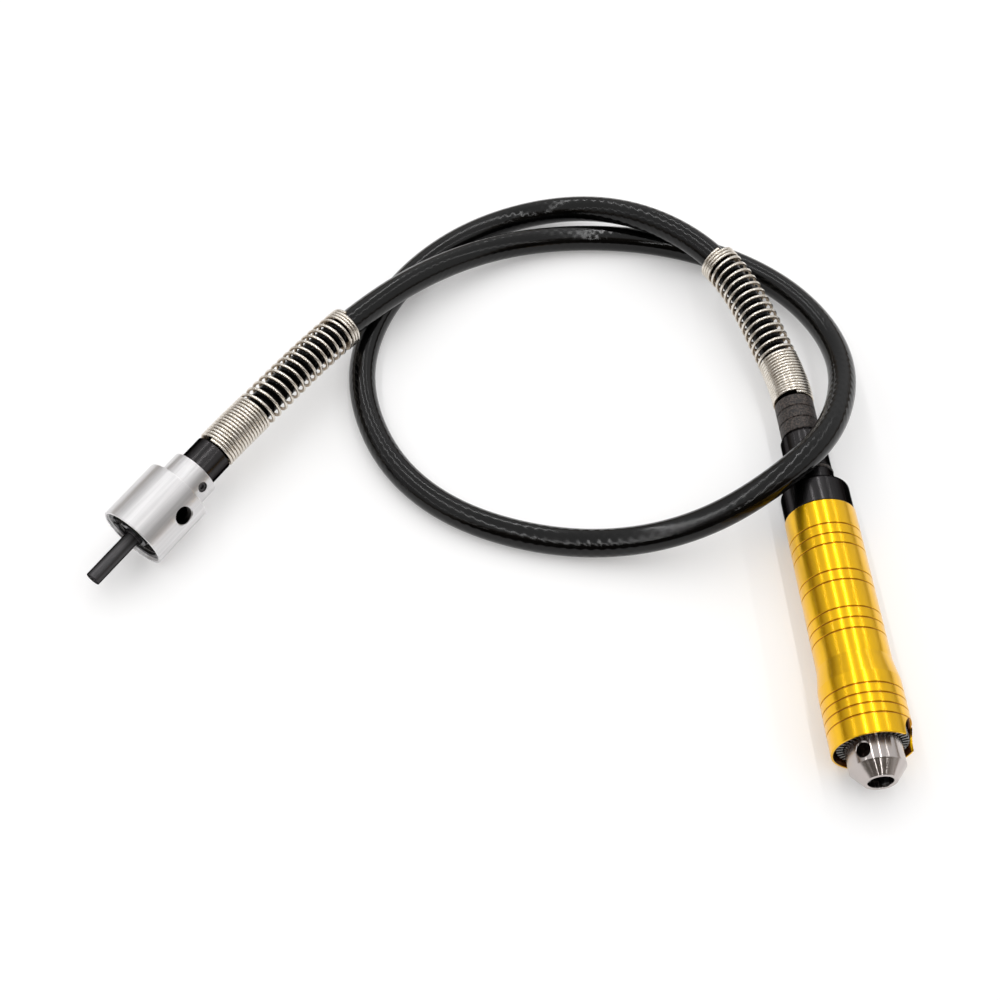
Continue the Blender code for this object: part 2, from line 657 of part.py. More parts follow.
def make_spindle(frame):
    tail = -SPINDLE_TAIL
    groove_radius = SPINDLE_RADIUS - CIRCLIP_GROOVE_DEPTH
    clip_start = REAR_BEARING_START - SLIDE_GAP - CIRCLIP_THICKNESS
    socket_end = tail + CORE_SOCKET_DEPTH
    collar_start = FRONT_BEARING_END + SLIDE_GAP
    collar_end = CHUCK_REAR - SEAT_GAP
    outline = [
        (0.0, socket_end),
        (CORE_BORE_RADIUS, socket_end),
        (CORE_BORE_RADIUS, tail),
        (SPINDLE_RADIUS, tail),
        (SPINDLE_RADIUS, clip_start - SLIDE_GAP),
        (groove_radius, clip_start - SLIDE_GAP),
        (groove_radius, clip_start + CIRCLIP_THICKNESS + SLIDE_GAP),
        (SPINDLE_RADIUS, clip_start + CIRCLIP_THICKNESS + SLIDE_GAP),
        (SPINDLE_RADIUS, collar_start),
        (SPINDLE_COLLAR_RADIUS, collar_start),
        (SPINDLE_COLLAR_RADIUS, collar_end),
        (SPINDLE_RADIUS, collar_end),
        (SPINDLE_RADIUS, SPINDLE_FRONT),
        (0.0, SPINDLE_FRONT),
    ]
    spindle = lathe("spindle", outline, frame, POLISHED_STEEL, SMALL_SIDES)
    screw_angle = math.radians(90)
    screw_along = (tail + CAP_BORE_RADIUS) / 2
    hole_radius = SPINDLE_SCREW_RADIUS + SLIDE_GAP
    hole = radial_hole(
        "spindle_screw_cutter", hole_radius, 0.0, 2 * SPINDLE_RADIUS, frame, screw_angle, screw_along, SCREW_SIDES
    )
    boolean(spindle, hole)
    bottom = CORE_RADIUS + SEAT_GAP
    screw_length = SPINDLE_RADIUS - bottom - SLIDE_GAP
    set_screw("spindle_set_screw", SPINDLE_SCREW_RADIUS, screw_length, frame, screw_angle, bottom, screw_along)
    clip_inner = groove_radius + SLIDE_GAP
    c_clip("spindle_circlip", clip_inner, clip_inner + CIRCLIP_WIDTH, clip_start, frame, POLISHED_STEEL)


def jaw_axis_radius(along):
    """How far the middle line of a jaw lies from the chuck's axis."""
    return JAW_AXIS_RADIUS_AT_NOSE + (NOSE - along) * math.tan(JAW_TILT)


def jaw_outer_radius(along):
    return jaw_axis_radius(along) + JAW_RADIUS / math.cos(JAW_TILT)


def slanted_rod(radius, from_along, to_along, sides):
    """A round rod along a jaw's middle line, in the plane of local X and Z."""
    length = (to_along - from_along) / math.cos(JAW_TILT)
    mesh_bm = spun([(0, 0), (radius, 0), (radius, length), (0, length)], sides)
    lean = Matrix.Rotation(-JAW_TILT, 4, "Y")
    place = Matrix.Translation((jaw_axis_radius(from_along), 0.0, from_along))
    bmesh.ops.transform(mesh_bm, matrix=place @ lean, verts=mesh_bm.verts)
    return mesh_bm


def cut_flat(mesh_bm, point, normal):
    """Removes what lies beyond a plane and closes the cut."""
    geom = mesh_bm.verts[:] + mesh_bm.edges[:] + mesh_bm.faces[:]
    cut = bmesh.ops.bisect_plane(mesh_bm, geom=geom, plane_co=point, plane_no=normal, clear_outer=True)
    edges = [item for item in cut["geom_cut"] if isinstance(item, bmesh.types.BMEdge)]
    bmesh.ops.edgeloop_fill(mesh_bm, edges=edges)


def jaw_mesh():
    """A slanted round jaw with a wedge that points at the chuck's axis, and flat ends."""
    over = 2 * JAW_RADIUS
    mesh_bm = slanted_rod(JAW_RADIUS, JAW_REAR - over, JAW_TIP + over, SCREW_SIDES)
    half = math.radians(JAW_WEDGE_HALF_DEG)
    for sign in (1, -1):
        cut_flat(mesh_bm, (JAW_OPEN_RADIUS, 0, 0), (-math.sin(half), sign * math.cos(half), 0))
    cut_flat(mesh_bm, (0, 0, JAW_TIP), (0, 0, 1))
    cut_flat(mesh_bm, (0, 0, JAW_REAR), (0, 0, -1))
    return mesh_bm


def make_chuck(frame):
    groove_radius = CHUCK_RADIUS - NUT_GROOVE_DEPTH
    groove_start = NUT_REAR - SLIDE_GAP
    groove_end = NUT_FRONT + SLIDE_GAP
    thread_bore = SPINDLE_RADIUS + SEAT_GAP
    thread_end = SPINDLE_FRONT + SEAT_GAP
    flange_end = CHUCK_REAR + CHUCK_FLANGE_LENGTH
    outline = [
        (0.0, thread_end),
        (thread_bore, thread_end),
        (thread_bore, CHUCK_REAR),
        (CHUCK_FLANGE_RADIUS, CHUCK_REAR),
        (CHUCK_FLANGE_RADIUS, flange_end),
        (CHUCK_RADIUS, flange_end),
        (CHUCK_RADIUS, groove_start),
        (groove_radius, groove_start),
        (groove_radius, groove_end),
        (CHUCK_RADIUS, groove_end),
        (CHUCK_RADIUS, NOSE - NOSE_CONE_LENGTH),
        (NOSE_RADIUS, NOSE),
        (TOOL_BORE_RADIUS, NOSE),
        (TOOL_BORE_RADIUS, max(TOOL_BORE_END, thread_end + CHUCK_WEB)),
        (0.0, max(TOOL_BORE_END, thread_end + CHUCK_WEB)),
    ]
    body = lathe("chuck_body", outline, frame, POLISHED_STEEL, FINE_SIDES)
    channel_rear = JAW_REAR - JAW_CHANNEL_RADIUS * math.sin(JAW_TILT) - SEAT_GAP
    key_bottom = CHUCK_RADIUS - KEY_HOLE_DEPTH
    for index in range(CHUCK_FOLD):
        key_angle = math.radians(KEY_HOLE_ANGLE_DEG) + index * 2 * math.pi / CHUCK_FOLD
        jaw_angle = key_angle + math.pi / CHUCK_FOLD
        turn = (0, 0, jaw_angle)
        name = f"chuck_jaw_{index + 1}"
        add_mesh(name, jaw_mesh(), frame, POLISHED_STEEL, rotation=turn)
        channel = slanted_rod(JAW_CHANNEL_RADIUS, channel_rear, NOSE + NOSE_CONE_LENGTH, SMALL_SIDES)
        boolean(body, add_mesh(f"{name}_channel", channel, frame, rotation=turn))
        tip = [(0, 0), (KEY_HOLE_RADIUS, KEY_HOLE_RADIUS / 2), (KEY_HOLE_RADIUS, 2 * KEY_HOLE_DEPTH)]
        tip.append((0, 2 * KEY_HOLE_DEPTH))
        place = radial_location(key_angle, key_bottom, NOSE - KEY_HOLE_SETBACK)
        hole_name = f"key_hole_cutter_{index + 1}"
        hole = lathe(hole_name, tip, frame, None, SMALL_SIDES, place, radial_rotation(key_angle))
        boolean(body, hole)


def make_chuck_ring(frame):
    lip_radius = CHUCK_RADIUS + SEAT_GAP
    outline = [
        (RING_BORE_RADIUS, RING_REAR),
        (RING_RADIUS, RING_REAR),
        (RING_RADIUS, RING_FRONT),
        (lip_radius, RING_FRONT),
        (lip_radius, RING_FRONT - RING_LIP),
        (RING_BORE_RADIUS, RING_FRONT - RING_LIP),
    ]
    ring = lathe("chuck_ring", outline, frame, POLISHED_STEEL, RING_TEETH)
    teeth_bm = bmesh.new()
    half = TOOTH_GAP_WIDTH / 2
    for index in range(RING_TEETH):
        turn = Matrix.Rotation(2 * math.pi * index / RING_TEETH, 4, "Z")
        ends = []
        for radius in (lip_radius / 2, 2 * RING_RADIUS):
            profile = [(half, RING_FRONT + TOOTH_DEPTH), (-half, RING_FRONT + TOOTH_DEPTH)]
            profile += [(-half, RING_FRONT), (0.0, RING_FRONT - TOOTH_DEPTH), (half, RING_FRONT)]
            ends.append([teeth_bm.verts.new(turn @ Vector((radius, y, z))) for y, z in profile])
        teeth_bm.faces.new(ends[0])
        teeth_bm.faces.new(ends[1])
        for i in range(len(ends[0])):
            j = (i + 1) % len(ends[0])
            teeth_bm.faces.new((ends[0][i], ends[0][j], ends[1][j], ends[1][i]))
    boolean(ring, add_mesh("tooth_gap_cutter", teeth_bm, frame))
    nut_outer = RING_BORE_RADIUS - SLIDE_GAP
    nut = [
        (jaw_outer_radius(NUT_REAR) + SEAT_GAP, NUT_REAR),
        (nut_outer, NUT_REAR),
        (nut_outer, NUT_FRONT),
        (jaw_outer_radius(NUT_FRONT) + SEAT_GAP, NUT_FRONT),
    ]
    lathe("chuck_nut", nut, frame, POLISHED_STEEL)


def make_handpiece(frame):
    make_grip(frame)
    make_rear_cap(frame)
    make_neck(frame)
    make_collar(frame)
    for prefix, start in (("rear_bearing", REAR_BEARING_START), ("front_bearing", FRONT_BEARING_START)):
        bearing(prefix, frame, BEARING_BORE_RADIUS, BEARING_OUTER_RADIUS, start, BEARING_WIDTH, BALL_RADIUS, 6)
    spacer = ring_outline(
        BEARING_OUTER_RADIUS - RACE_WALL,
        BEARING_OUTER_RADIUS,
        REAR_BEARING_END + SEAT_GAP,
        FRONT_BEARING_START - SEAT_GAP,
    )
    lathe("bearing_spacer", spacer, frame, TURNED_ALUMINIUM)
    make_spindle(frame)
    make_chuck(frame)
    make_chuck_ring(frame)


def make_cup(frame):
    seat_radius = CUP_BEARING_RADIUS + SEAT_GAP
    clip_end = CUP_BEARING_RECESS - SLIDE_GAP
    clip_start = clip_end - CIRCLIP_THICKNESS
    groove_radius = seat_radius + CIRCLIP_GROOVE_DEPTH
    ferrule_bore = FERRULE_RADIUS + SEAT_GAP
    cavity_end = CUP_LENGTH - CUP_BACK_WALL
    bevel = CUP_EDGE_BEVEL
    outline = [
        (seat_radius, 0.0),
        (CUP_RADIUS - bevel, 0.0),
        (CUP_RADIUS, bevel),
        (CUP_RADIUS, CUP_LENGTH - bevel),
        (CUP_RADIUS - bevel, CUP_LENGTH),
        (CUP_NECK_RADIUS, CUP_LENGTH),
        (CUP_NECK_RADIUS, CUP_REAR - bevel),
        (CUP_NECK_RADIUS - bevel, CUP_REAR),
        (ferrule_bore, CUP_REAR),
        (ferrule_bore, cavity_end),
        (CUP_CAVITY_RADIUS, cavity_end),
        (CUP_CAVITY_RADIUS, CUP_BEARING_END + SEAT_GAP),
        (seat_radius, CUP_BEARING_END + SEAT_GAP),
        (seat_radius, clip_end + SLIDE_GAP),
        (groove_radius, clip_end + SLIDE_GAP),
        (groove_radius, clip_start - SLIDE_GAP),
        (seat_radius, clip_start - SLIDE_GAP),
    ]
    cup = lathe("coupling_cup", outline, frame, TURNED_ALUMINIUM, FINE_SIDES)
    angle = math.radians(HOLES_ANGLE_DEG)
    access = radial_hole(
        "access_hole_cutter", ACCESS_HOLE_RADIUS, SHANK_BOSS_RADIUS, 2 * CUP_RADIUS, frame, angle, ACCESS_HOLE_ALONG
    )
    boolean(cup, access)
    small = radial_hole(
        "neck_hole_cutter", NECK_HOLE_RADIUS, HOSE_RADIUS, 2 * CUP_RADIUS, frame, angle, NECK_HOLE_ALONG, SCREW_SIDES
    )
    boolean(cup, small)
    clip_outer = groove_radius - SLIDE_GAP
    c_clip("coupling_circlip", clip_outer - CIRCLIP_WIDTH, clip_outer, clip_start, frame, POLISHED_STEEL)
    screw_radius = NECK_HOLE_RADIUS - SLIDE_GAP
    bottom = FERRULE_RADIUS + SEAT_GAP
    set_screw("ferrule_set_screw", screw_radius, FERRULE_SCREW_LENGTH, frame, angle, bottom, NECK_HOLE_ALONG)


def make_shank(frame):
    journal_radius = CUP_BORE_RADIUS - SEAT_GAP
    clip_end = CUP_BEARING_RECESS - SLIDE_GAP
    clip_start = clip_end - CIRCLIP_THICKNESS
    groove_radius = journal_radius - CIRCLIP_GROOVE_DEPTH
    journal_start = clip_start - SLIDE_GAP - CIRCLIP_THICKNESS
    socket_end = CORE_START - SEAT_GAP
    outline = [
        (0.0, SHANK_CENTRE_DEPTH - SHANK_STICK_OUT),
        (SHANK_CENTRE_RADIUS, SHANK_CENTRE_DEPTH - SHANK_STICK_OUT),
        (SHANK_CENTRE_RADIUS, -SHANK_STICK_OUT),
        (SHANK_RADIUS - CUP_EDGE_BEVEL, -SHANK_STICK_OUT),
        (SHANK_RADIUS, CUP_EDGE_BEVEL - SHANK_STICK_OUT),
        (SHANK_RADIUS, journal_start),
        (journal_radius, journal_start),
        (journal_radius, clip_start - SLIDE_GAP),
        (groove_radius, clip_start - SLIDE_GAP),
        (groove_radius, clip_end + SLIDE_GAP),
        (journal_radius, clip_end + SLIDE_GAP),
        (journal_radius, BOSS_START),
        (SHANK_BOSS_RADIUS, BOSS_START),
        (SHANK_BOSS_RADIUS, BOSS_END),
        (CORE_BORE_RADIUS, BOSS_END),
        (CORE_BORE_RADIUS, socket_end),
        (0.0, socket_end),
    ]
    shank = lathe("drive_shank", outline, frame, BLACK_OXIDE)
    angle = math.radians(HOLES_ANGLE_DEG)
    hole = radial_hole(
        "shank_screw_cutter",
        SHANK_SCREW_RADIUS + SLIDE_GAP,
        0.0,
        2 * SHANK_BOSS_RADIUS,
        frame,
        angle,
        ACCESS_HOLE_ALONG,
        SCREW_SIDES,
    )
    boolean(shank, hole)
    bottom = CORE_RADIUS + SEAT_GAP
    set_screw("shank_set_screw", SHANK_SCREW_RADIUS, SHANK_SCREW_LENGTH, frame, angle, bottom, ACCESS_HOLE_ALONG)
    clip_inner = groove_radius + SLIDE_GAP
    c_clip("shank_circlip", clip_inner, clip_inner + CIRCLIP_WIDTH, clip_start, frame, POLISHED_STEEL)


def make_coupling(frame):
    make_cup(frame)
    make_shank(frame)
    bearing(
        "coupling_bearing",
        frame,
        CUP_BORE_RADIUS,
        CUP_BEARING_RADIUS,
        CUP_BEARING_RECESS,
        CUP_BEARING_WIDTH,
        CUP_BALL_RADIUS,
        8,
    )
    ferrule = [
        (CORE_BORE_RADIUS, FERRULE_START),
        (FERRULE_RADIUS, FERRULE_START),
        (FERRULE_RADIUS, FERRULE_END),
        (HOSE_BORE_RADIUS, FERRULE_END),
        (HOSE_BORE_RADIUS, FERRULE_START + FERRULE_FLANGE),
        (CORE_BORE_RADIUS, FERRULE_START + FERRULE_FLANGE),
    ]
    lathe("drive_ferrule", ferrule, frame, BLACK_PLASTIC)


def make_hose(coupling, handpiece):
    """The hose, its core and both springs, along one centreline between the two frames."""
    shift = np.array(ASSEMBLY_SHIFT)
    ahead = np.array(coupling.to_3x3() @ Vector((0, 0, 1)))
    onward = np.array(handpiece.to_3x3() @ Vector((0, 0, 1)))
    leave = np.array(coupling.translation) + (FERRULE_END + LEAD_OUT) * ahead
    arrive = np.array(handpiece.translation) + (COLLAR_REAR - LEAD_OUT) * onward
    line = Centreline([np.array(point) + shift for point in HOSE_ROUTE], leave, ahead, arrive, onward)
    free = line.free_points()
    hose_tail = FERRULE_END + LEAD_OUT - HOSE_START
    hose_head = HOSE_END - SEAT_GAP - COLLAR_REAR + LEAD_OUT
    hose = tube(
        "hose",
        [line.at(-hose_tail)] + free + [line.at(line.length + hose_head)],
        HOSE_RADIUS,
        HOSE_BEVEL_RESOLUTION,
        BLACK_VINYL,
        caps=False,
    )
    wall = hose.modifiers.new("wall", "SOLIDIFY")
    wall.thickness = HOSE_WALL
    wall.offset = -1.0
    core_tail = FERRULE_END + LEAD_OUT - CORE_START
    core_head = CORE_SOCKET_DEPTH - SPINDLE_TAIL - SEAT_GAP - COLLAR_REAR + LEAD_OUT
    core_points = [line.at(-core_tail)] + free + [line.at(line.length + core_head)]
    tube("flex_core", core_points, CORE_RADIUS, CORE_BEVEL_RESOLUTION, POLISHED_STEEL)
    springs = (
        ("drive_spring", SEAT_GAP - LEAD_OUT, 1),
        ("handpiece_spring", line.length + LEAD_OUT - SEAT_GAP, -1),
    )
    for name, seat, sign in springs:
        points = spring_points(line, seat, sign)
        print_least_gap(name, points)
        tube(name, points, SPRING_WIRE_RADIUS, 1, NICKEL_WIRE)
    exposed = line.length + 2 * LEAD_OUT
    print(f"hose: {exposed:.3f} m between its two fittings, {line.length + hose_tail + hose_head:.3f} m in all")


def main():
    clear_scene()
    assembly = add_empty("assembly_frame", ASSEMBLY_SHIFT, (0, 0, 0))
    rise = math.radians(COUPLING_RISE_DEG)
    cup_height = CUP_RADIUS * math.cos(rise)
    coupling_turn = (math.pi / 2 - rise, 0.0, math.radians(COUPLING_HEADING_DEG + 90))
    coupling = add_empty("coupling_frame", (*COUPLING_XY, cup_height), coupling_turn, assembly)
    handpiece_place = (*HANDPIECE_XY, GRIP_FRONT_RADIUS)
    handpiece = add_empty("handpiece_frame", handpiece_place, (math.pi / 2, 0.0, 0.0), assembly)
    make_coupling(coupling)
    make_handpiece(handpiece)
    bpy.context.view_layer.update()
    make_hose(coupling.matrix_world, handpiece.matrix_world)


main()
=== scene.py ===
"""Dressed model of a drill-driven flexible shaft with a chuck handpiece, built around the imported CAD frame.

Lengths are in metres. Turned pieces are outlines of (radius, along) in millimetres, with an optional third
number for a fillet, turned about the local Z of the coupling or of the handpiece.
"""

import math

import bmesh
import bpy
import numpy as np
from mathutils import Matrix, Vector


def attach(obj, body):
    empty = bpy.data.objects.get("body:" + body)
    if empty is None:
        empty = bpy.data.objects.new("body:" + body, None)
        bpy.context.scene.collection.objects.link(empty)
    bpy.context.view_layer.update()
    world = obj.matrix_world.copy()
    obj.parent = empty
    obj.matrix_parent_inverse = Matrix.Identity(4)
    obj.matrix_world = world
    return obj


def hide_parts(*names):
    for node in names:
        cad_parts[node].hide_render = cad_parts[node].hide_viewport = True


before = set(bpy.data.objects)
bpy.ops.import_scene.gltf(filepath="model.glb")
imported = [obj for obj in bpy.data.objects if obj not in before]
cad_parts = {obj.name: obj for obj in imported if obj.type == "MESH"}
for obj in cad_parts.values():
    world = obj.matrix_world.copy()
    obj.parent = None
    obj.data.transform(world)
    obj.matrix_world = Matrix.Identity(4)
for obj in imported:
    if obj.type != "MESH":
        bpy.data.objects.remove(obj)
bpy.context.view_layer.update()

MM = 0.001
TURN = 2 * math.pi
THIRD = TURN / 3

# Sizes that two sections share, in millimetres
CUP_RADIUS = 14.0
FERRULE_END = 47.4
COLLAR_REAR = -57.1

# Where the CAD puts the hose's route, the handpiece and the coupling
SHIFT = np.array([0.01097, 0.01441, 0.0])
HANDPIECE_PLACE = (0.13337, -0.01389, 0.0150)
HANDPIECE = Matrix.Translation(HANDPIECE_PLACE) @ Matrix.Rotation(math.pi / 2, 4, "X")
RISE = math.radians(5.95)
HEADING = math.radians(49.5)
CUP_CENTRE = (-0.13213, -0.00399, CUP_RADIUS * MM * math.cos(RISE))
COUPLING = (
    Matrix.Translation(CUP_CENTRE)
    @ Matrix.Rotation(HEADING + math.pi / 2, 4, "Z")
    @ Matrix.Rotation(math.pi / 2 - RISE, 4, "X")
)

# Angles about a piece's own axis
HOLES_ANGLE = math.radians(160)
NOTCH_ANGLE = math.radians(22)
KEY_HOLE_ANGLE = math.radians(127)

# The camera, fitted to the photo
CAMERA_PLACE = (-0.01313, -0.34439, 0.50036)
CAMERA_AIM = (0.0391, 0.5823, -0.8120)
CAMERA_LENS = 55.06
SENSOR_WIDTH = 36.0
CAMERA_NEAR = 0.01

# Radiance of the room's parts, and the span of height, side or depth of a direction over which each sets in
CEILING = 0.84
CEILING_EDGE = (0.28, 0.74)
WALL_SIDES = (0.58, 0.80)
WALL_SIDES_EDGE = (-0.50, 0.50)
HORIZON = 0.20
HORIZON_EDGE = (0.0, 0.28)
FRONT = 0.08
FRONT_EDGE = (-0.70, -0.48)

# The room's tint where it is dim, and the radiance at which it is all warm or all white
WARM = (1.0, 0.78, 0.58)
WARM_BELOW = 0.25
WHITE_ABOVE = 0.60

# Lamp tubes along Y as (x, radiance), each turned to the floor line at this share of its own x, and a fill
TUBES = ((-2.70, 9.0), (-0.76, 19.0), (0.377, 20.0), (1.69, 9.0))
TUBE_HEIGHT = 2.1
TUBE_SIZE = (0.045, 6.4)
TUBE_AIM = 0.3
FILL_PLACE = (0.0, 0.3, 2.6)
FILL_SIZE = (5.0, 5.0)
FILL_RADIANCE = 0.10

# The floor lies just under the part, and reaches past what any view shows
FLOOR_HALF = 30.0
FLOOR_CELLS = 8
FLOOR_DROP = 0.0002


# Camera and stage

def add_camera():
    data = bpy.data.cameras.new("camera")
    data.sensor_width = SENSOR_WIDTH
    data.lens = CAMERA_LENS
    data.clip_start = CAMERA_NEAR
    camera = bpy.data.objects.new("camera", data)
    camera.location = CAMERA_PLACE
    camera.rotation_euler = Vector(CAMERA_AIM).to_track_quat("-Z", "Y").to_euler()
    bpy.context.scene.collection.objects.link(camera)
    bpy.context.scene.camera = camera


def add_lamp(name, place, size, radiance, toward, glossy=True):
    """A flat lamp of the given radiance. Its long side runs along Y and it faces the line x = toward."""
    data = bpy.data.lights.new(name, "AREA")
    data.shape = "RECTANGLE"
    data.size, data.size_y = size
    data.energy = radiance * math.pi * size[0] * size[1]
    lamp = bpy.data.objects.new(name, data)
    lamp.location = place
    lamp.rotation_euler = (0.0, math.atan2(place[0] - toward, place[2]), 0.0)
    lamp.visible_glossy = glossy
    lamp.visible_camera = False
    bpy.context.scene.collection.objects.link(lamp)


def add_lamps():
    for i, (x, radiance) in enumerate(TUBES):
        add_lamp(f"tube_{i + 1}", (x, 0.0, TUBE_HEIGHT), TUBE_SIZE, radiance, x * TUBE_AIM)
    add_lamp("fill", FILL_PLACE, FILL_SIZE, FILL_RADIANCE, 0.0, glossy=False)


def fill_ramp(node, stops):
    for element, (at, colour) in zip(node.color_ramp.elements, stops):
        element.position = at
        element.color = (*colour, 1.0)


def add_world():
    """A white ceiling over walls that darken to the floor, with a dark room behind the camera.

    Dim parts are warmer.
    """
    world = bpy.data.worlds.new("room")
    bpy.context.scene.world = world
    world.use_nodes = True
    nodes = world.node_tree.nodes
    links = world.node_tree.links
    split = nodes.new("ShaderNodeSeparateXYZ")
    links.new(nodes.new("ShaderNodeTexCoord").outputs["Generated"], split.inputs["Vector"])

    def step(axis, start, end, low, high):
        node = nodes.new("ShaderNodeMapRange")
        node.interpolation_type = "SMOOTHSTEP"
        for key, value in (("From Min", start), ("From Max", end), ("To Min", low), ("To Max", high)):
            node.inputs[key].default_value = value
        links.new(split.outputs[axis], node.inputs["Value"])
        return node.outputs["Result"]

    blend = nodes.new("ShaderNodeMix")
    links.new(step("Z", *CEILING_EDGE, 0.0, 1.0), blend.inputs["Factor"])
    links.new(step("X", *WALL_SIDES_EDGE, *WALL_SIDES), blend.inputs["A"])
    blend.inputs["B"].default_value = CEILING
    level = blend.outputs["Result"]
    for shade in (step("Z", *HORIZON_EDGE, HORIZON, 1.0), step("Y", *FRONT_EDGE, FRONT, 1.0)):
        product = nodes.new("ShaderNodeMath")
        product.operation = "MULTIPLY"
        links.new(level, product.inputs[0])
        links.new(shade, product.inputs[1])
        level = product.outputs["Value"]
    links.new(level, nodes["Background"].inputs["Strength"])
    tint = nodes.new("ShaderNodeValToRGB")
    fill_ramp(tint, [(WARM_BELOW, WARM), (WHITE_ABOVE, (1.0, 1.0, 1.0))])
    links.new(level, tint.inputs["Fac"])
    links.new(tint.outputs["Color"], nodes["Background"].inputs["Color"])


# Materials

# Sockets of a Mix node that mixes colours, whose names repeat
MIX_FACTOR, MIX_A, MIX_B, MIX_RESULT = 0, 6, 7, 2

# How far the stretched highlights of turned metal are turned, as a share of a full turn
HIGHLIGHT_TURN = 0.25

# The stretch of a noise over which roughness changes
ROUGHNESS_SPAN = (0.3, 0.7)

# Rings left by a lathe, streaks along a drawn bar, and how sharply a bore's painted shade begins
TURNED_CELLS = 2200
TURNED_STRETCH = (0.02, 0.02, 1.0)
TURNED_ROUGHNESS = 0.015
TURNED_DEPTH = 3e-7
STREAK_CELLS = 1500
STREAK_STRETCH = (1, 1, 0.012)
STREAK_SPAN = (0.35, 0.75)
STREAK_DEPTH = 6e-6
BORE_EDGE = 0.0001

# The hose's braid as strands each way and the length of one wave, and the length of a spring shade's edge
WEAVE_STRANDS = 8.0
WEAVE_PITCH = 0.0042
SPRING_SHADE = 0.008


class Finish:
    """A material whose nodes are added one by one around its shader."""

    def __init__(self, name, colour, metallic, roughness, anisotropic=0.0):
        self.material = bpy.data.materials.new(name)
        self.material.use_nodes = True
        tree = self.material.node_tree
        self.nodes = tree.nodes
        self.links = tree.links
        self.shader = self.nodes["Principled BSDF"]
        self.shade(Base_Color=(*colour, 1.0), Metallic=metallic, Roughness=roughness)
        self.object_coords = self.nodes.new("ShaderNodeTexCoord").outputs["Object"]
        self.normal = None
        if anisotropic:
            around = self.node("ShaderNodeTangent", {"direction_type": "RADIAL", "axis": "Z"})
            self.shade(Anisotropic=anisotropic, Anisotropic_Rotation=HIGHLIGHT_TURN)
            self.shade(Tangent=around.outputs["Tangent"])

    def feed(self, socket, value):
        """Links the socket to a value that comes from a node, and otherwise sets it."""
        if isinstance(value, bpy.types.NodeSocket):
            self.links.new(value, socket)
        else:
            socket.default_value = value

    def shade(self, **inputs):
        for key, value in inputs.items():
            self.feed(self.shader.inputs[key.replace("_", " ")], value)

    def node(self, kind, settings=(), **inputs):
        node = self.nodes.new(kind)
        for key, value in dict(settings).items():
            setattr(node, key, value)
        for key, value in inputs.items():
            self.feed(node.inputs[key.replace("_", " ")], value)
        return node

    def calc(self, operation, *values):
        node = self.node("ShaderNodeMath", {"operation": operation})
        for socket, value in zip(node.inputs, values):
            self.feed(socket, value)
        return node.outputs["Value"]

    def remap(self, value, start, end, low=0.0, high=1.0):
        """The value's place between start and end, given as a number from low to high."""
        span = {"From_Min": start, "From_Max": end, "To_Min": low, "To_Max": high}
        return self.node("ShaderNodeMapRange", Value=value, **span).outputs["Result"]

    def split(self, vector):
        return self.node("ShaderNodeSeparateXYZ", Vector=vector).outputs

    def rest(self):
        """Each point's place on a tube before it was bent, as tube_mesh keeps it."""
        return self.node("ShaderNodeAttribute", {"attribute_name": "rest"}).outputs["Vector"]

    def noise(self, cells, stretch=(1, 1, 1), detail=3.0, vector=None):
        """Noise of this many cells to the metre, with each axis of the coordinates stretched."""
        source = vector or self.object_coords
        mapping = self.node("ShaderNodeMapping", Vector=source, Scale=[cells * s for s in stretch])
        node = self.node("ShaderNodeTexNoise", Vector=mapping.outputs["Vector"], Scale=1.0, Detail=detail)
        return node.outputs["Fac"]

    def vary_colour(self, factor, dark, light, low=0.35, high=0.65):
        ramp = self.node("ShaderNodeValToRGB", Fac=factor)
        fill_ramp(ramp, [(low, dark), (high, light)])
        self.shade(Base_Color=ramp.outputs["Color"])

    def vary_roughness(self, factor, low, high):
        self.shade(Roughness=self.remap(factor, *ROUGHNESS_SPAN, low, high))

    def tint(self, mask, factor):
        """Multiplies the colour by the factor where the mask is one."""
        base = self.shader.inputs["Base Color"]
        mix = self.node("ShaderNodeMix", {"data_type": "RGBA", "blend_type": "MULTIPLY"})
        self.feed(mix.inputs[MIX_FACTOR], mask)
        self.feed(mix.inputs[MIX_A], base.links[0].from_socket)
        self.feed(mix.inputs[MIX_B], (*factor, 1.0))
        self.feed(base, mix.outputs[MIX_RESULT])

    def bump(self, height, distance):
        node = self.node("ShaderNodeBump", Height=height, Distance=distance, Strength=1.0)
        if self.normal is not None:
            self.feed(node.inputs["Normal"], self.normal)
        self.normal = node.outputs["Normal"]
        self.shade(Normal=self.normal)


def turned(name, colour, roughness, anisotropic, spread=0.04, cells=240, grain=0.3):
    """Metal with the fine rings that a lathe leaves around the local Z.

    A low grain draws the clouds of its colour out along Z.
    """
    finish = Finish(name, colour, 1.0, roughness, anisotropic)
    cloud = finish.noise(cells, (1, 1, grain))
    finish.vary_colour(cloud, [c * (1 - spread) for c in colour], [c * (1 + spread) for c in colour])
    rings = finish.noise(TURNED_CELLS, TURNED_STRETCH)
    finish.vary_roughness(rings, roughness - TURNED_ROUGHNESS, roughness + TURNED_ROUGHNESS)
    finish.bump(rings, TURNED_DEPTH)
    return finish


def paint_bore_shade(finish, radius, start, end, factor):
    """Paints shade: darkens the surface that lies nearer than radius to the local Z, between start and end
    along it.
    """
    place = finish.split(finish.object_coords)
    flat = finish.node("ShaderNodeCombineXYZ", X=place["X"], Y=place["Y"]).outputs["Vector"]
    reach = finish.node("ShaderNodeVectorMath", {"operation": "LENGTH"}, Vector=flat).outputs["Value"]
    inside = finish.remap(reach, radius - BORE_EDGE, radius + BORE_EDGE, 1.0, 0.0)
    for at, edge in ((start, BORE_EDGE), (end, -BORE_EDGE)):
        inside = finish.calc("MULTIPLY", inside, finish.remap(place["Z"], at - edge, at + edge))
    finish.tint(inside, factor)


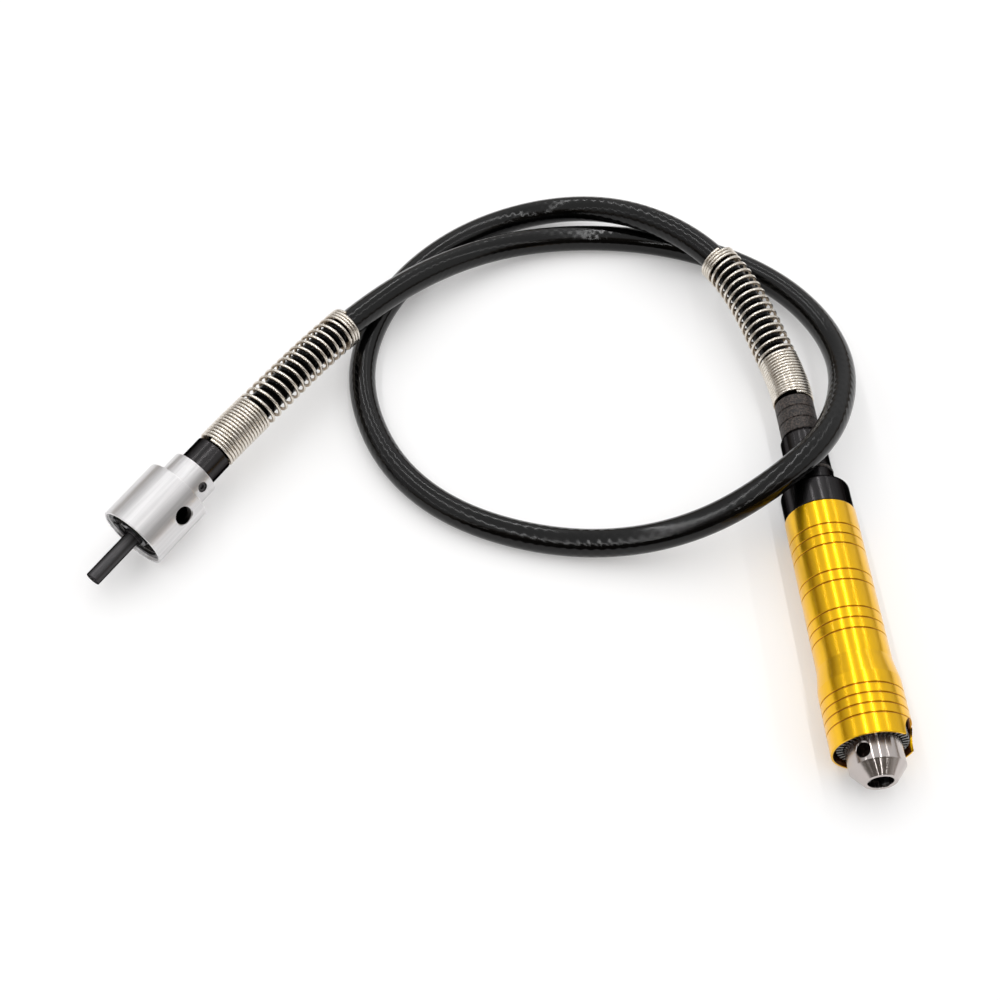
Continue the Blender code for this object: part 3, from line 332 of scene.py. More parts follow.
def streak(finish, amount):
    """Adds to the roughness fine lines that run along the local Z."""
    lines = finish.noise(STREAK_CELLS, STREAK_STRETCH)
    rings = finish.shader.inputs["Roughness"].links[0].from_socket
    finish.shade(Roughness=finish.calc("ADD", rings, finish.remap(lines, *STREAK_SPAN, 0.0, amount)))
    finish.bump(lines, STREAK_DEPTH)


def braided_vinyl(length, covered):
    """Glossy black skin that shows the weave under it as shallow waves.

    It is dull for the covered length at either end, where a spring shades it.
    """
    finish = Finish("black_vinyl", (0.001, 0.001, 0.001), 0.0, 0.15)
    rest = finish.rest()
    place = finish.split(rest)
    angle = finish.calc("ARCTAN2", place["Z"], place["Y"])
    along = finish.calc("MULTIPLY", place["X"], TURN / WEAVE_PITCH)
    waves = []
    for strands in (WEAVE_STRANDS, -WEAVE_STRANDS):
        waves.append(finish.calc("SINE", finish.calc("MULTIPLY_ADD", angle, strands, along)))
    worn = finish.remap(finish.noise(cells=22, vector=rest), 0.42, 0.62, low=0.1)
    finish.bump(finish.calc("MULTIPLY", finish.calc("ADD", *waves), worn), distance=2e-5)
    finish.bump(finish.noise(cells=110, stretch=(0.35, 1, 1), detail=1.0, vector=rest), distance=4e-5)
    finish.vary_roughness(finish.noise(cells=30, detail=2.0, vector=rest), low=0.10, high=0.20)
    nearest = finish.calc("MINIMUM", place["X"], finish.calc("SUBTRACT", length, place["X"]))
    gloss = finish.remap(nearest, covered - SPRING_SHADE, covered, low=0.06, high=0.30)
    finish.shade(Specular_IOR_Level=gloss)
    cloud = finish.noise(cells=60, vector=rest)
    finish.vary_colour(cloud, dark=(0.0006, 0.0006, 0.0006), light=(0.0016, 0.0015, 0.0015))
    return finish


def matte_rubber():
    """Grainy black rubber with paler specks."""
    finish = Finish("black_rubber", (0.02, 0.018, 0.0175), 0.0, 0.6)
    grain = finish.noise(cells=1300, detail=2.0)
    finish.vary_colour(grain, (0.009, 0.0068, 0.006), (0.080, 0.062, 0.054), low=0.42, high=0.66)
    finish.vary_roughness(grain, low=0.40, high=0.75)
    finish.bump(grain, distance=0.00045)
    return finish


def drawn_wire(radius):
    """Bright drawn wire, with painted brown shade on the side that faces the hose."""
    finish = Finish("nickel_wire", (0.74, 0.695, 0.625), 1.0, 0.10)
    lines = finish.noise(cells=1400)
    finish.vary_colour(finish.noise(cells=300), dark=(0.68, 0.63, 0.555), light=(0.80, 0.755, 0.69))
    finish.vary_roughness(lines, low=0.24, high=0.30)
    finish.bump(lines, distance=1e-6)
    # Painted shade: the side of each turn that faces the hose is darker and browner
    outward = finish.split(finish.rest())["Y"]
    hose_side_shade = finish.remap(outward, start=0.75 * radius, end=0.15 * radius)
    finish.tint(hose_side_shade, (0.42, 0.35, 0.27))
    return finish


def twisted_core():
    finish = Finish("core_steel", (0.40, 0.39, 0.37), 1.0, 0.35)
    strands = finish.noise(cells=1500, stretch=(1.0, 0.6, 0.6), detail=2.0, vector=finish.rest())
    finish.vary_colour(strands, dark=(0.25, 0.24, 0.22), light=(0.50, 0.49, 0.46))
    finish.bump(strands, distance=0.0001)
    return finish


def ground_steel(name, dark, light, rough):
    finish = Finish(name, light, 1.0, sum(rough) / 2)
    marks = finish.noise(cells=1800, detail=4.0)
    finish.vary_colour(finish.noise(cells=320), dark, light)
    finish.vary_roughness(marks, *rough)
    finish.bump(marks, distance=3e-6)
    return finish


def pale_floor():
    """A white table that is lit a little from below, so that shadows stay pale."""
    finish = Finish("floor", (0.70, 0.70, 0.70), 0.0, 0.8)
    finish.shade(Specular_IOR_Level=0.15, Emission_Color=(1.0, 0.995, 0.995, 1.0), Emission_Strength=0.26)
    finish.vary_colour(finish.noise(cells=6), dark=(0.695, 0.693, 0.693), light=(0.705, 0.703, 0.703))
    return finish


# Painted shade: how much of the colour is left in the bores and grooves of each metal
GROOVE_SHADE = (0.55, 0.42, 0.35)
ALUMINIUM_SHADE = (0.12, 0.115, 0.11)

GOLD = turned("gold_anodised", (0.90, 0.505, 0.002), roughness=0.29, anisotropic=0.75)
# Painted shade in the grip's mouth and on the floors of its grooves
paint_bore_shade(GOLD, radius=0.01425, start=0.0755, end=0.100, factor=(0.16, 0.08, 0.05))
paint_bore_shade(GOLD, radius=0.01364, start=0.008, end=0.060, factor=GROOVE_SHADE)
paint_bore_shade(GOLD, radius=0.01489, start=0.078, end=0.094, factor=GROOVE_SHADE)
GOLD.shade(Coat_Weight=0.35, Coat_Roughness=0.12)
BRUSHED = {"cells": 700, "grain": 0.03}
ALUMINIUM = turned("turned_aluminium", (0.85, 0.84, 0.845), 0.48, 0.95, spread=0.07, **BRUSHED)
streak(ALUMINIUM, amount=0.10)
# Painted shade inside the cup and inside its neck
paint_bore_shade(ALUMINIUM, radius=0.0134, start=0.0106, end=0.0245, factor=ALUMINIUM_SHADE)
paint_bore_shade(ALUMINIUM, radius=0.0098, start=0.0260, end=0.0361, factor=ALUMINIUM_SHADE)
CHUCK_STEEL = turned("chuck_steel", (0.52, 0.475, 0.455), roughness=0.18, anisotropic=1.0)
# Painted shade in the key holes and in the bore for bits
paint_bore_shade(CHUCK_STEEL, radius=0.0095, start=0.097, end=0.1056, factor=(0.34, 0.31, 0.30))
paint_bore_shade(CHUCK_STEEL, radius=0.0048, start=0.092, end=0.1107, factor=(0.12, 0.11, 0.10))
BLACK_OXIDE = turned("black_oxide", (0.072, 0.070, 0.072), 0.33, 0.6, spread=0.2, **BRUSHED)
streak(BLACK_OXIDE, amount=0.12)
BLACK_ANODISED = turned("black_anodised", (0.042, 0.040, 0.041), 0.24, 0.7, spread=0.2, **BRUSHED)
for black in (BLACK_OXIDE, BLACK_ANODISED):
    black.shade(Specular_Tint=(0.15, 0.15, 0.15, 1.0))
BEARING_STEEL = ground_steel("bearing_steel", (0.27, 0.26, 0.25), (0.33, 0.32, 0.31), (0.18, 0.26))
# Painted shade: a darker copy of the bearing steel for the races, balls and cage deep in the cup
SHADED_BEARING_PARTS = ground_steel("shaded_bearing_parts", (0.15, 0.145, 0.14), (0.22, 0.215, 0.21), (0.20, 0.30))
# Painted shade: a darker copy of the bearing steel for the toothed ring deep in the grip's mouth, darker
# still behind its teeth
SHADED_RING_STEEL = ground_steel("shaded_ring_steel", (0.14, 0.137, 0.133), (0.21, 0.205, 0.20), (0.20, 0.30))
paint_bore_shade(SHADED_RING_STEEL, radius=0.020, start=0.0, end=0.0970, factor=(0.25, 0.24, 0.23))
DARK_STEEL = ground_steel("dark_steel", (0.08, 0.08, 0.085), (0.16, 0.16, 0.165), (0.28, 0.42))
RUBBER = matte_rubber()
CORE = twisted_core()


# Mesh tools

# Sides of a turned piece, steps of a fillet, and the angle in degrees from which an edge is sharp
LATHE_SIDES = 128
FILLET_STEPS = 4
SHARP_ANGLE = 32

# The most of an edge that a fillet takes, and how far off its support points lie, as a share of its reach
FILLET_ROOM = 0.42
SUPPORT = 1.12

# A point nearer than this to the axis, in millimetres, is on it
ON_AXIS = 1e-6

# A groove's floor as a share of its width to either side, the fillet of its edges and the margin beside it
GROOVE_FLOOR = 0.18
GROOVE_FILLET = 0.08
GROOVE_MARGIN = 0.25


def rounded(outline, steps=FILLET_STEPS):
    """Swaps each point that gives a fillet for an arc, with a close support point before and after it."""
    found = []
    for i, point in enumerate(outline):
        here = np.array(point[:2], float)
        fillet = point[2] if len(point) > 2 else 0.0
        if not fillet:
            found.append(tuple(here))
            continue
        before = np.array(outline[i - 1][:2], float) - here
        after = np.array(outline[(i + 1) % len(outline)][:2], float) - here
        room = FILLET_ROOM * min(np.linalg.norm(before), np.linalg.norm(after))
        before /= np.linalg.norm(before)
        after /= np.linalg.norm(after)
        half = math.acos(max(-1.0, min(1.0, float(before @ after)))) / 2
        reach = min(fillet / math.tan(half), room)
        radius = reach * math.tan(half)
        middle = (before + after) / np.linalg.norm(before + after)
        centre = here + middle * radius / math.sin(half)
        first = here + before * reach - centre
        last = here + after * reach - centre
        start = math.atan2(first[1], first[0])
        sweep = (math.atan2(last[1], last[0]) - start + math.pi) % TURN - math.pi
        found.append(tuple(here + before * reach * SUPPORT))
        found += arc(radius, [start + sweep * step / steps for step in range(steps + 1)], centre)
        found.append(tuple(here + after * reach * SUPPORT))
    return found


def arc(radius, angles, centre=(0.0, 0.0)):
    return [(centre[0] + radius * math.cos(a), centre[1] + radius * math.sin(a)) for a in angles]


def polar(radius, angle, along):
    """A point about the local Z, from millimetres."""
    return Vector((radius * math.cos(angle), radius * math.sin(angle), along)) * MM


def bridge(mesh, one, two):
    """Faces between two rings of as many points."""
    for i in range(len(one)):
        j = (i + 1) % len(one)
        mesh.faces.new((one[i], one[j], two[j], two[i]))


def spun(outline, sides=LATHE_SIDES):
    """A closed bmesh: an outline in millimetres turned about Z. Points on the axis become poles."""
    mesh = bmesh.new()
    rings = []
    for radius, along in outline:
        if radius < ON_AXIS:
            rings.append([mesh.verts.new((0, 0, along * MM))])
        else:
            rings.append([mesh.verts.new(polar(radius, TURN * i / sides, along)) for i in range(sides)])
    for one, two in zip(rings, rings[1:] + rings[:1]):
        if len(one) == 1 and len(two) == 1:
            continue
        for i in range(sides):
            j = (i + 1) % sides
            corners = [one[i % len(one)], one[j % len(one)], two[j % len(two)], two[i % len(two)]]
            mesh.faces.new(list(dict.fromkeys(corners)))
    return mesh


def rod(radius, length, sides):
    return spun([(0, 0), (radius, 0), (radius, length), (0, length)], sides)


def flared_rod(radius, start, mouth, end, length, sides):
    """A rod that widens to the mouth's radius between start and end."""
    return spun([(0, 0), (radius, 0), (radius, start), (mouth, end), (mouth, length), (0, length)], sides)


def smooth(data, sharp):
    data.shade_smooth()
    data.set_sharp_from_angle(angle=math.radians(sharp))


def finish_mesh(name, mesh, sharp=SHARP_ANGLE):
    bmesh.ops.recalc_face_normals(mesh, faces=mesh.faces)
    data = bpy.data.meshes.new(name)
    mesh.to_mesh(data)
    mesh.free()
    smooth(data, sharp)
    return data


def piece(name, mesh, place, finish, body, nodes, cutters=(), sharp=SHARP_ANGLE):
    """One dressed piece: cut, placed, painted, and tied to its CAD body and nodes."""
    obj = bpy.data.objects.new(name, finish_mesh(name, mesh, sharp))
    bpy.context.scene.collection.objects.link(obj)
    for i, cutter in enumerate(cutters):
        tool = bpy.data.objects.new(f"{name}_cutter", finish_mesh(f"{name}_cutter", cutter))
        bpy.context.scene.collection.objects.link(tool)
        cut = obj.modifiers.new(f"cut_{i}", "BOOLEAN")
        cut.operation = "DIFFERENCE"
        cut.solver = "EXACT"
        cut.object = tool
        bpy.context.view_layer.update()
        shaped = bpy.data.meshes.new_from_object(obj.evaluated_get(bpy.context.evaluated_depsgraph_get()))
        obj.modifiers.clear()
        obj.data = shaped
        bpy.data.objects.remove(tool)
    if cutters:
        smooth(obj.data, sharp)
    obj.data.materials.clear()
    obj.data.materials.append(finish.material)
    obj.matrix_world = place
    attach(obj, body)
    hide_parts(*nodes)
    return obj


def radial(angle, distance, along):
    """A frame whose Z points away from the local axis."""
    turn = Matrix.Rotation(angle, 4, "Z") @ Matrix.Rotation(math.pi / 2, 4, "Y")
    return Matrix.Translation(polar(distance, angle, along)) @ turn


def moved(mesh, matrix):
    bmesh.ops.transform(mesh, matrix=matrix, verts=mesh.verts)
    return mesh


def standing(mesh, distance, angle):
    """Turns a prism to rise away from the local axis from this distance on, with its y along that axis."""
    lie = Matrix(((0, 0, 1, distance * MM), (1, 0, 0, 0), (0, 1, 0, 0), (0, 0, 0, 1)))
    return moved(mesh, Matrix.Rotation(angle, 4, "Z") @ lie)


def joined(meshes):
    """One bmesh with the parts of several."""
    whole = bmesh.new()
    for mesh in meshes:
        data = bpy.data.meshes.new("part")
        mesh.to_mesh(data)
        mesh.free()
        whole.from_mesh(data)
        bpy.data.meshes.remove(data)
    return whole


def prism(outline, depth):
    """A flat outline of (x, y) in millimetres, raised along Z."""
    mesh = bmesh.new()
    floor = [mesh.verts.new((x * MM, y * MM, 0.0)) for x, y in outline]
    roof = [mesh.verts.new((x * MM, y * MM, depth * MM)) for x, y in outline]
    mesh.faces.new(list(reversed(floor)))
    mesh.faces.new(roof)
    bridge(mesh, floor, roof)
    return mesh


def grooves(radius, middles, width, depth):
    """Outline points of shallow turned grooves in a cylinder, in rising order."""
    points = []
    for middle in middles:
        points.append((radius, middle - width / 2 - GROOVE_MARGIN))
        points.append((radius, middle - width / 2, GROOVE_FILLET))
        points.append((radius - depth, middle - width * GROOVE_FLOOR))
        points.append((radius - depth, middle + width * GROOVE_FLOOR))
        points.append((radius, middle + width / 2, GROOVE_FILLET))
        points.append((radius, middle + width / 2 + GROOVE_MARGIN))
    return points


# Hose, core and springs

# Points of the hose's middle line, read from the photo, before SHIFT
ROUTE = [
    (-0.0926, 0.0402, 0.0212),
    (-0.0751, 0.0617, 0.0212),
    (-0.0573, 0.0826, 0.0196),
    (-0.0384, 0.1016, 0.0173),
    (-0.0170, 0.1194, 0.0129),
    (0.0072, 0.1322, 0.0093),
    (0.0342, 0.1385, 0.0068),
    (0.0618, 0.1380, 0.0058),
    (0.0886, 0.1314, 0.0057),
    (0.1124, 0.1184, 0.0064),
    (0.1312, 0.0986, 0.0087),
    (0.1423, 0.0736, 0.0126),
    (0.1444, 0.0466, 0.0182),
    (0.1380, 0.0212, 0.0246),
    (0.1256, -0.0006, 0.0296),
    (0.1066, -0.0174, 0.0292),
    (0.0834, -0.0270, 0.0204),
    (0.0574, -0.0300, 0.0116),
    (0.0306, -0.0276, 0.0068),
    (0.0040, -0.0204, 0.0057),
    (-0.0204, -0.0074, 0.0057),
    (-0.0394, 0.0126, 0.0057),
    (-0.0508, 0.0384, 0.0057),
    (-0.0540, 0.0664, 0.0057),
    (-0.0480, 0.0934, 0.0057),
    (-0.0346, 0.1173, 0.0057),
    (-0.0158, 0.1367, 0.0057),
    (0.0080, 0.1506, 0.0060),
    (0.0349, 0.1551, 0.0086),
    (0.0603, 0.1460, 0.0156),
    (0.0820, 0.1301, 0.0200),
    (0.0997, 0.1105, 0.0202),
    (0.1113, 0.0858, 0.0187),
    (0.1181, 0.0590, 0.0165),
]

# Between the route and each fitting the line runs straight for this length
LEAD_OUT = 0.0030
COUPLING_EXIT = FERRULE_END * MM + LEAD_OUT
HANDPIECE_ENTRY = COLLAR_REAR * MM - LEAD_OUT

# The ends of hose and core inside the fittings, along the axis of the coupling or of the handpiece
HOSE_START = 0.0303
HOSE_END = -0.0248
CORE_START = 0.0110
CORE_END = 0.0097

HOSE_RADIUS = 0.0056
HOSE_BORE = 0.0036
HOSE_SIDES = 32
HOSE_STEP = 0.0020
CORE_RADIUS = 0.0020
CORE_STEP = 0.0040
WIRE_SIDES = 12
SAMPLES_PER_SPAN = 60
HALF_PROBE = 0.0005

# The springs' round wire, given by its radius, is wound close by the fitting, then open, then close again
SPRING_RADIUS = 0.0084
SPRING_WIRE = 0.00070
SPRING_COVER = 0.0790
SEAT_GAP = 0.0003
CLOSE_TURNS = 15.5
OPEN_TURNS = 14.0
END_TURNS = 3.5
CLOSE_PITCH = 0.00147
OPEN_PITCH = 0.0038
POINTS_PER_TURN = 28
SPRING_SHARP = 50
WIRE = drawn_wire(SPRING_WIRE)


class Centreline:
    """The hose's middle line, read by distance from the coupling's lead-out.

    It runs straight on past its ends.
    """

    def __init__(self):
        ahead = np.array(COUPLING.to_3x3() @ Vector((0, 0, 1)))
        onward = np.array(HANDPIECE.to_3x3() @ Vector((0, 0, 1)))
        start = np.array(COUPLING.translation) + COUPLING_EXIT * ahead
        end = np.array(HANDPIECE.translation) + HANDPIECE_ENTRY * onward
        points = np.array([start, *(np.array(p) + SHIFT for p in ROUTE), end])
        spans = np.linalg.norm(np.diff(points, axis=0), axis=1)
        matrix = np.eye(len(points))
        right = np.zeros((len(points), 3))
        right[0], right[-1] = ahead, onward
        for i in range(1, len(points) - 1):
            before, after = spans[i - 1], spans[i]
            matrix[i, i - 1 : i + 2] = after, 2 * (before + after), before
            right[i] = 3 * after * (points[i] - points[i - 1]) / before
            right[i] += 3 * before * (points[i + 1] - points[i]) / after
        slopes = np.linalg.solve(matrix, right)
        found = []
        for i, span in enumerate(spans):
            for u in np.arange(SAMPLES_PER_SPAN) / SAMPLES_PER_SPAN:
                found.append(
                    (2 * u**3 - 3 * u**2 + 1) * points[i]
                    + (u**3 - 2 * u**2 + u) * span * slopes[i]
                    + (3 * u**2 - 2 * u**3) * points[i + 1]
                    + (u**3 - u**2) * span * slopes[i + 1]
                )
        self.points = np.array(found + [points[-1]])
        steps = np.linalg.norm(np.diff(self.points, axis=0), axis=1)
        self.distances = np.concatenate([[0.0], np.cumsum(steps)])
        self.length = self.distances[-1]
        self.ends = (ahead, onward)

    def at(self, distance):
        inside = min(max(distance, 0.0), self.length)
        point = np.array([np.interp(inside, self.distances, self.points[:, i]) for i in range(3)])
        return point + (distance - inside) * self.ends[0 if distance < 0 else 1]

    def ahead(self, distance):
        step = self.at(distance + HALF_PROBE) - self.at(distance - HALF_PROBE)
        return step / np.linalg.norm(step)


LINE = Centreline()


def square_to(ahead, side):
    """The direction nearest to side that is square to ahead, and the one across both."""
    side = side - ahead * side.dot(ahead)
    side /= np.linalg.norm(side)
    return side, np.cross(ahead, side)


def carried_sides(directions):
    """Two directions across each point of a path, carried along it without twist."""
    side = np.array((0.0, 0.0, 1.0))
    pairs = []
    for ahead in directions:
        side, across = square_to(ahead, side)
        pairs.append((side, across))
    return pairs


def tube_mesh(centres, pairs, radii, sides, along):
    """A closed tube, hollow where two radii are given, with each point's place on the straight tube kept."""
    mesh = bmesh.new()
    rest = mesh.verts.layers.float_vector.new("rest")
    angles = np.linspace(0, TURN, sides, endpoint=False)
    walls = []
    for radius in radii:
        rings = []
        for centre, (side, across), distance in zip(centres, pairs, along):
            ring = []
            for angle in angles:
                c, s = math.cos(angle), math.sin(angle)
                vert = mesh.verts.new(centre + radius * (c * side + s * across))
                vert[rest] = (distance, radius * c, radius * s)
                ring.append(vert)
            rings.append(ring)
        walls.append(rings)
        for one, two in zip(rings, rings[1:]):
            bridge(mesh, one, two)
    for end in (0, -1):
        if len(walls) == 1:
            mesh.faces.new(walls[0][end])
        else:
            bridge(mesh, walls[0][end], walls[1][end])
    return mesh


def run_along(start, end, step):
    """Points and sides of the middle line, from start on the coupling's axis to end on the handpiece's."""
    first = start - COUPLING_EXIT
    last = LINE.length + end - HANDPIECE_ENTRY
    along = np.linspace(first, last, round((last - first) / step) + 1)
    centres = [LINE.at(d) for d in along]
    return along, centres, carried_sides([LINE.ahead(d) for d in along])


def make_hose():
    along, centres, pairs = run_along(HOSE_START, HOSE_END, HOSE_STEP)
    mesh = tube_mesh(centres, pairs, (HOSE_RADIUS, HOSE_BORE), HOSE_SIDES, along)
    vinyl = braided_vinyl(LINE.length, SPRING_COVER)
    hose = piece("hose_skin", mesh, Matrix.Identity(4), vinyl, "casing", ["hose"])
    core_along, core_centres, core_pairs = run_along(CORE_START, CORE_END, CORE_STEP)
    core_mesh = tube_mesh(core_centres, core_pairs, (CORE_RADIUS,), WIRE_SIDES, core_along)
    core = piece("core_wire", core_mesh, Matrix.Identity(4), CORE, "casing", ["flex_core"])


def spring_advance(turns):
    close = min(turns, CLOSE_TURNS)
    opened = min(max(turns - CLOSE_TURNS, 0.0), OPEN_TURNS)
    end = max(turns - CLOSE_TURNS - OPEN_TURNS, 0.0)
    return (close + end) * CLOSE_PITCH + opened * OPEN_PITCH


def make_spring(name, node, seat, sign):
    """Round wire wound right-handed about the middle line from the fitting at distance seat."""
    count = round((CLOSE_TURNS + OPEN_TURNS + END_TURNS) * POINTS_PER_TURN)
    turns = np.arange(count + 1) / POINTS_PER_TURN
    distances = [seat + sign * (SPRING_WIRE + spring_advance(t)) for t in turns]
    pairs = carried_sides([LINE.ahead(d) for d in distances])
    middles = np.array([LINE.at(d) for d in distances])
    coil = SPRING_RADIUS - SPRING_WIRE
    outward = []
    for turn, (side, across) in zip(turns, pairs):
        angle = sign * TURN * turn
        outward.append(coil * (math.cos(angle) * side + math.sin(angle) * across))
    centres = middles + np.array(outward)
    steps = np.gradient(centres, axis=0)
    steps /= np.linalg.norm(steps, axis=1)[:, None]
    wire_pairs = [square_to(step, away) for step, away in zip(steps, outward)]
    along = np.concatenate([[0.0], np.cumsum(np.linalg.norm(np.diff(centres, axis=0), axis=1))])
    mesh = tube_mesh(centres, wire_pairs, (SPRING_WIRE,), WIRE_SIDES, along)
    piece(name, mesh, Matrix.Identity(4), WIRE, "casing", [node], sharp=SPRING_SHARP)


# Handpiece

# Bores that the core and the hose's ends lie in
CORE_BORE = 2.3
HOSE_SOCKET = 5.9

# The grip, which widens over a flare to its mouth
GRIP_RADIUS = 13.75
GRIP_BORE = 11.3
FLARE_START = 66.0
FLARE_END = 74.5
SHOULDER_BORE = 9.5
SHOULDER_START = 69.5
MOUTH_RADIUS = 15.0
MOUTH_BORE = 13.6
MOUTH_FLOOR = 78.0
LIP_RADIUS = 14.2
LIP_START = 96.6
GRIP_LENGTH = 99.0
REAR_GROOVES = (11.0, 15.5, 20.0, 31.65, 36.15, 47.8, 52.3, 56.8)
FRONT_GROOVES = (79.7, 83.6, 87.5, 91.4)
GRIP_GROOVE = {"width": 0.75, "depth": 0.34}

# The round-ended notch for the chuck key, and where its cutter begins and how far it reaches outward
NOTCH_RADIUS = 7.7
NOTCH_MIDDLE = 98.2
NOTCH_TOP = 105
NOTCH_STEPS = 33
NOTCH_FLOOR = 9
NOTCH_DEPTH = 10

# The rear cap
CAP_REAR = -19.4
CAP_STEP = -12.5
CAP_FRONT = -0.3
CAP_RADIUS = 13.4
CAP_STEM = 9.0
CAP_BORE = 6.0
CAP_SPIGOT = 11.0
SPIGOT_BORE = 8.6
SPIGOT_FLOOR = 7.4
SPIGOT_END = 14.2
CAP_FILLET_STEPS = 8

# The neck, the O-ring and the collar
NECK_REAR = -39.5
NECK_REAR_RADIUS = 8.0
NECK_TAPER_END = -37.8
NECK_RADIUS = 8.8
NECK_FRONT = -21.5
HOSE_STOP = -24.5
O_RING_SEAT = 7.35
O_RING_SEAT_END = -19.7
NECK_SPIGOT = 5.7
NECK_SPIGOT_END = -6.0
O_RING_RADIUS = 8.4
O_RING_SECTION = 0.75
O_RING_MIDDLE = -20.45
O_RING_SIDES = 16
COLLAR_RADIUS = 7.85
COLLAR_FRONT = -39.8
COLLAR_GROOVES = (-51.33, -45.57)
COLLAR_GROOVE = {"width": 0.9, "depth": 0.5}


def make_grip():
    outline = [(GRIP_BORE, 0.0), (GRIP_RADIUS, 0.0, 0.35)]
    outline += grooves(GRIP_RADIUS, REAR_GROOVES, **GRIP_GROOVE)
    outline += [(GRIP_RADIUS, FLARE_START, 0.5), (MOUTH_RADIUS, FLARE_END, 0.5)]
    outline += grooves(MOUTH_RADIUS, FRONT_GROOVES, **GRIP_GROOVE)
    outline += [(MOUTH_RADIUS, GRIP_LENGTH, 0.30), (LIP_RADIUS, GRIP_LENGTH, 0.12), (MOUTH_BORE, LIP_START)]
    outline += [(MOUTH_BORE, MOUTH_FLOOR), (SHOULDER_BORE, MOUTH_FLOOR)]
    outline += [(SHOULDER_BORE, SHOULDER_START), (GRIP_BORE, SHOULDER_START)]
    end = arc(NOTCH_RADIUS, np.linspace(-math.pi, 0, NOTCH_STEPS), (0.0, NOTCH_MIDDLE))
    slot = prism([(NOTCH_RADIUS, NOTCH_TOP), (-NOTCH_RADIUS, NOTCH_TOP)] + end, NOTCH_DEPTH)
    notch = standing(slot, NOTCH_FLOOR, NOTCH_ANGLE)
    piece("grip", spun(rounded(outline)), HANDPIECE, GOLD, "casing", ["handle_sleeve"], [notch])


def make_cap():
    outline = [
        (CAP_BORE, CAP_REAR), (CAP_STEM, CAP_REAR, 0.3), (CAP_STEM, CAP_STEP, 0.3),
        (CAP_RADIUS, CAP_STEP, 3.0), (CAP_RADIUS, CAP_FRONT, 0.25), (CAP_SPIGOT, CAP_FRONT),
        (CAP_SPIGOT, SPIGOT_END), (SPIGOT_BORE, SPIGOT_END), (SPIGOT_BORE, SPIGOT_FLOOR),
        (CAP_BORE, SPIGOT_FLOOR),
    ]
    mesh = spun(rounded(outline, CAP_FILLET_STEPS))
    piece("cap", mesh, HANDPIECE, BLACK_ANODISED, "casing", ["rear_cap"])


def make_neck():
    outline = [
        (HOSE_SOCKET, NECK_REAR), (NECK_REAR_RADIUS, NECK_REAR, 0.4), (NECK_RADIUS, NECK_TAPER_END, 0.5),
        (NECK_RADIUS, NECK_FRONT, 0.4), (O_RING_SEAT, NECK_FRONT), (O_RING_SEAT, O_RING_SEAT_END),
        (NECK_SPIGOT, O_RING_SEAT_END), (NECK_SPIGOT, NECK_SPIGOT_END), (CORE_BORE, NECK_SPIGOT_END),
        (CORE_BORE, HOSE_STOP), (HOSE_SOCKET, HOSE_STOP),
    ]
    mesh = spun(rounded(outline))
    piece("neck", mesh, HANDPIECE, BLACK_ANODISED, "casing", ["hose_neck"])


def make_o_ring():
    angles = np.linspace(0, TURN, O_RING_SIDES, endpoint=False)
    ring = spun(arc(O_RING_SECTION, angles, (O_RING_RADIUS, O_RING_MIDDLE)))
    piece("o_ring", ring, HANDPIECE, RUBBER, "casing", ["neck_o_ring"])


def make_collar():
    outline = [(HOSE_SOCKET, COLLAR_REAR), (COLLAR_RADIUS, COLLAR_REAR, 0.6)]
    outline += grooves(COLLAR_RADIUS, COLLAR_GROOVES, **COLLAR_GROOVE)
    outline += [(COLLAR_RADIUS, COLLAR_FRONT, 0.4), (HOSE_SOCKET, COLLAR_FRONT)]
    mesh = spun(rounded(outline))
    piece("collar", mesh, HANDPIECE, RUBBER, "casing", ["ribbed_collar"])


# The chuck's body: a flange, a groove for the nut, a cone to the nose and the mouth for bits
CHUCK_REAR = 80.0
FLANGE_RADIUS = 11.9
FLANGE_END = 82.0
CHUCK_RADIUS = 10.1
NUT_SEAT = 8.4
NUT_START = 92.0
NUT_END = 95.8
CONE_START = 106.0
NOSE = 111.0
NOSE_RADIUS = 6.0
BIT_MOUTH = 4.6
BIT_STEP = 4.4
BIT_STEP_START = 108.6
BIT_BORE = 3.45
BIT_FLOOR = 92.2
SPINDLE_SOCKET = 4.3
SPINDLE_STOP = 90.2
KEY_HOLE = {"radius": 2.65, "start": 5.35, "mouth": 3.05, "end": 5.8, "length": 10, "sides": 48}
KEY_HOLE_FLOOR = 4.2
KEY_HOLE_ALONG = 101.9

# The jaws slope inward to the nose in channels, and meet in flats that leave an edge inward
JAWS = 3
JAW_SLOPE = (7.4, 28.0)
JAW_TILT = math.atan2(*JAW_SLOPE)
JAW_AT_NOSE = 2.5
JAW_SIDES = 32
JAW_RADIUS = 2.0
JAW_BLANK = (79.0, 114.0)
JAW_START = 83
JAW_END = 110
JAW_EDGE = 3.25
CHANNEL_RADIUS = 2.2
CHANNEL_ENDS = (82.1, 116.0)

# The toothed ring, and the gap between two teeth as (half width, along) from its top to its floor
TEETH = 36
RING_SIDES = 144
RING_RADIUS = 12.8
RING_BORE = 12.2
RING_REAR = 80.5
RING_FRONT = 97.4
TEETH_BORE = 10.4
TOOTH_GAP = [(0.62, 98.9), (0.56, 97.4), (0.34, 96.0)]
GAP_FLOOR = 5
GAP_DEPTH = 22


def jaw_line(along):
    return JAW_AT_NOSE + (NOSE - along) * math.tan(JAW_TILT)


def slanted_rod(radius, start, end):
    mesh = rod(radius, (end - start) / math.cos(JAW_TILT), JAW_SIDES)
    place = Matrix.Translation((jaw_line(start) * MM, 0.0, start * MM)) @ Matrix.Rotation(-JAW_TILT, 4, "Y")
    return moved(mesh, place)


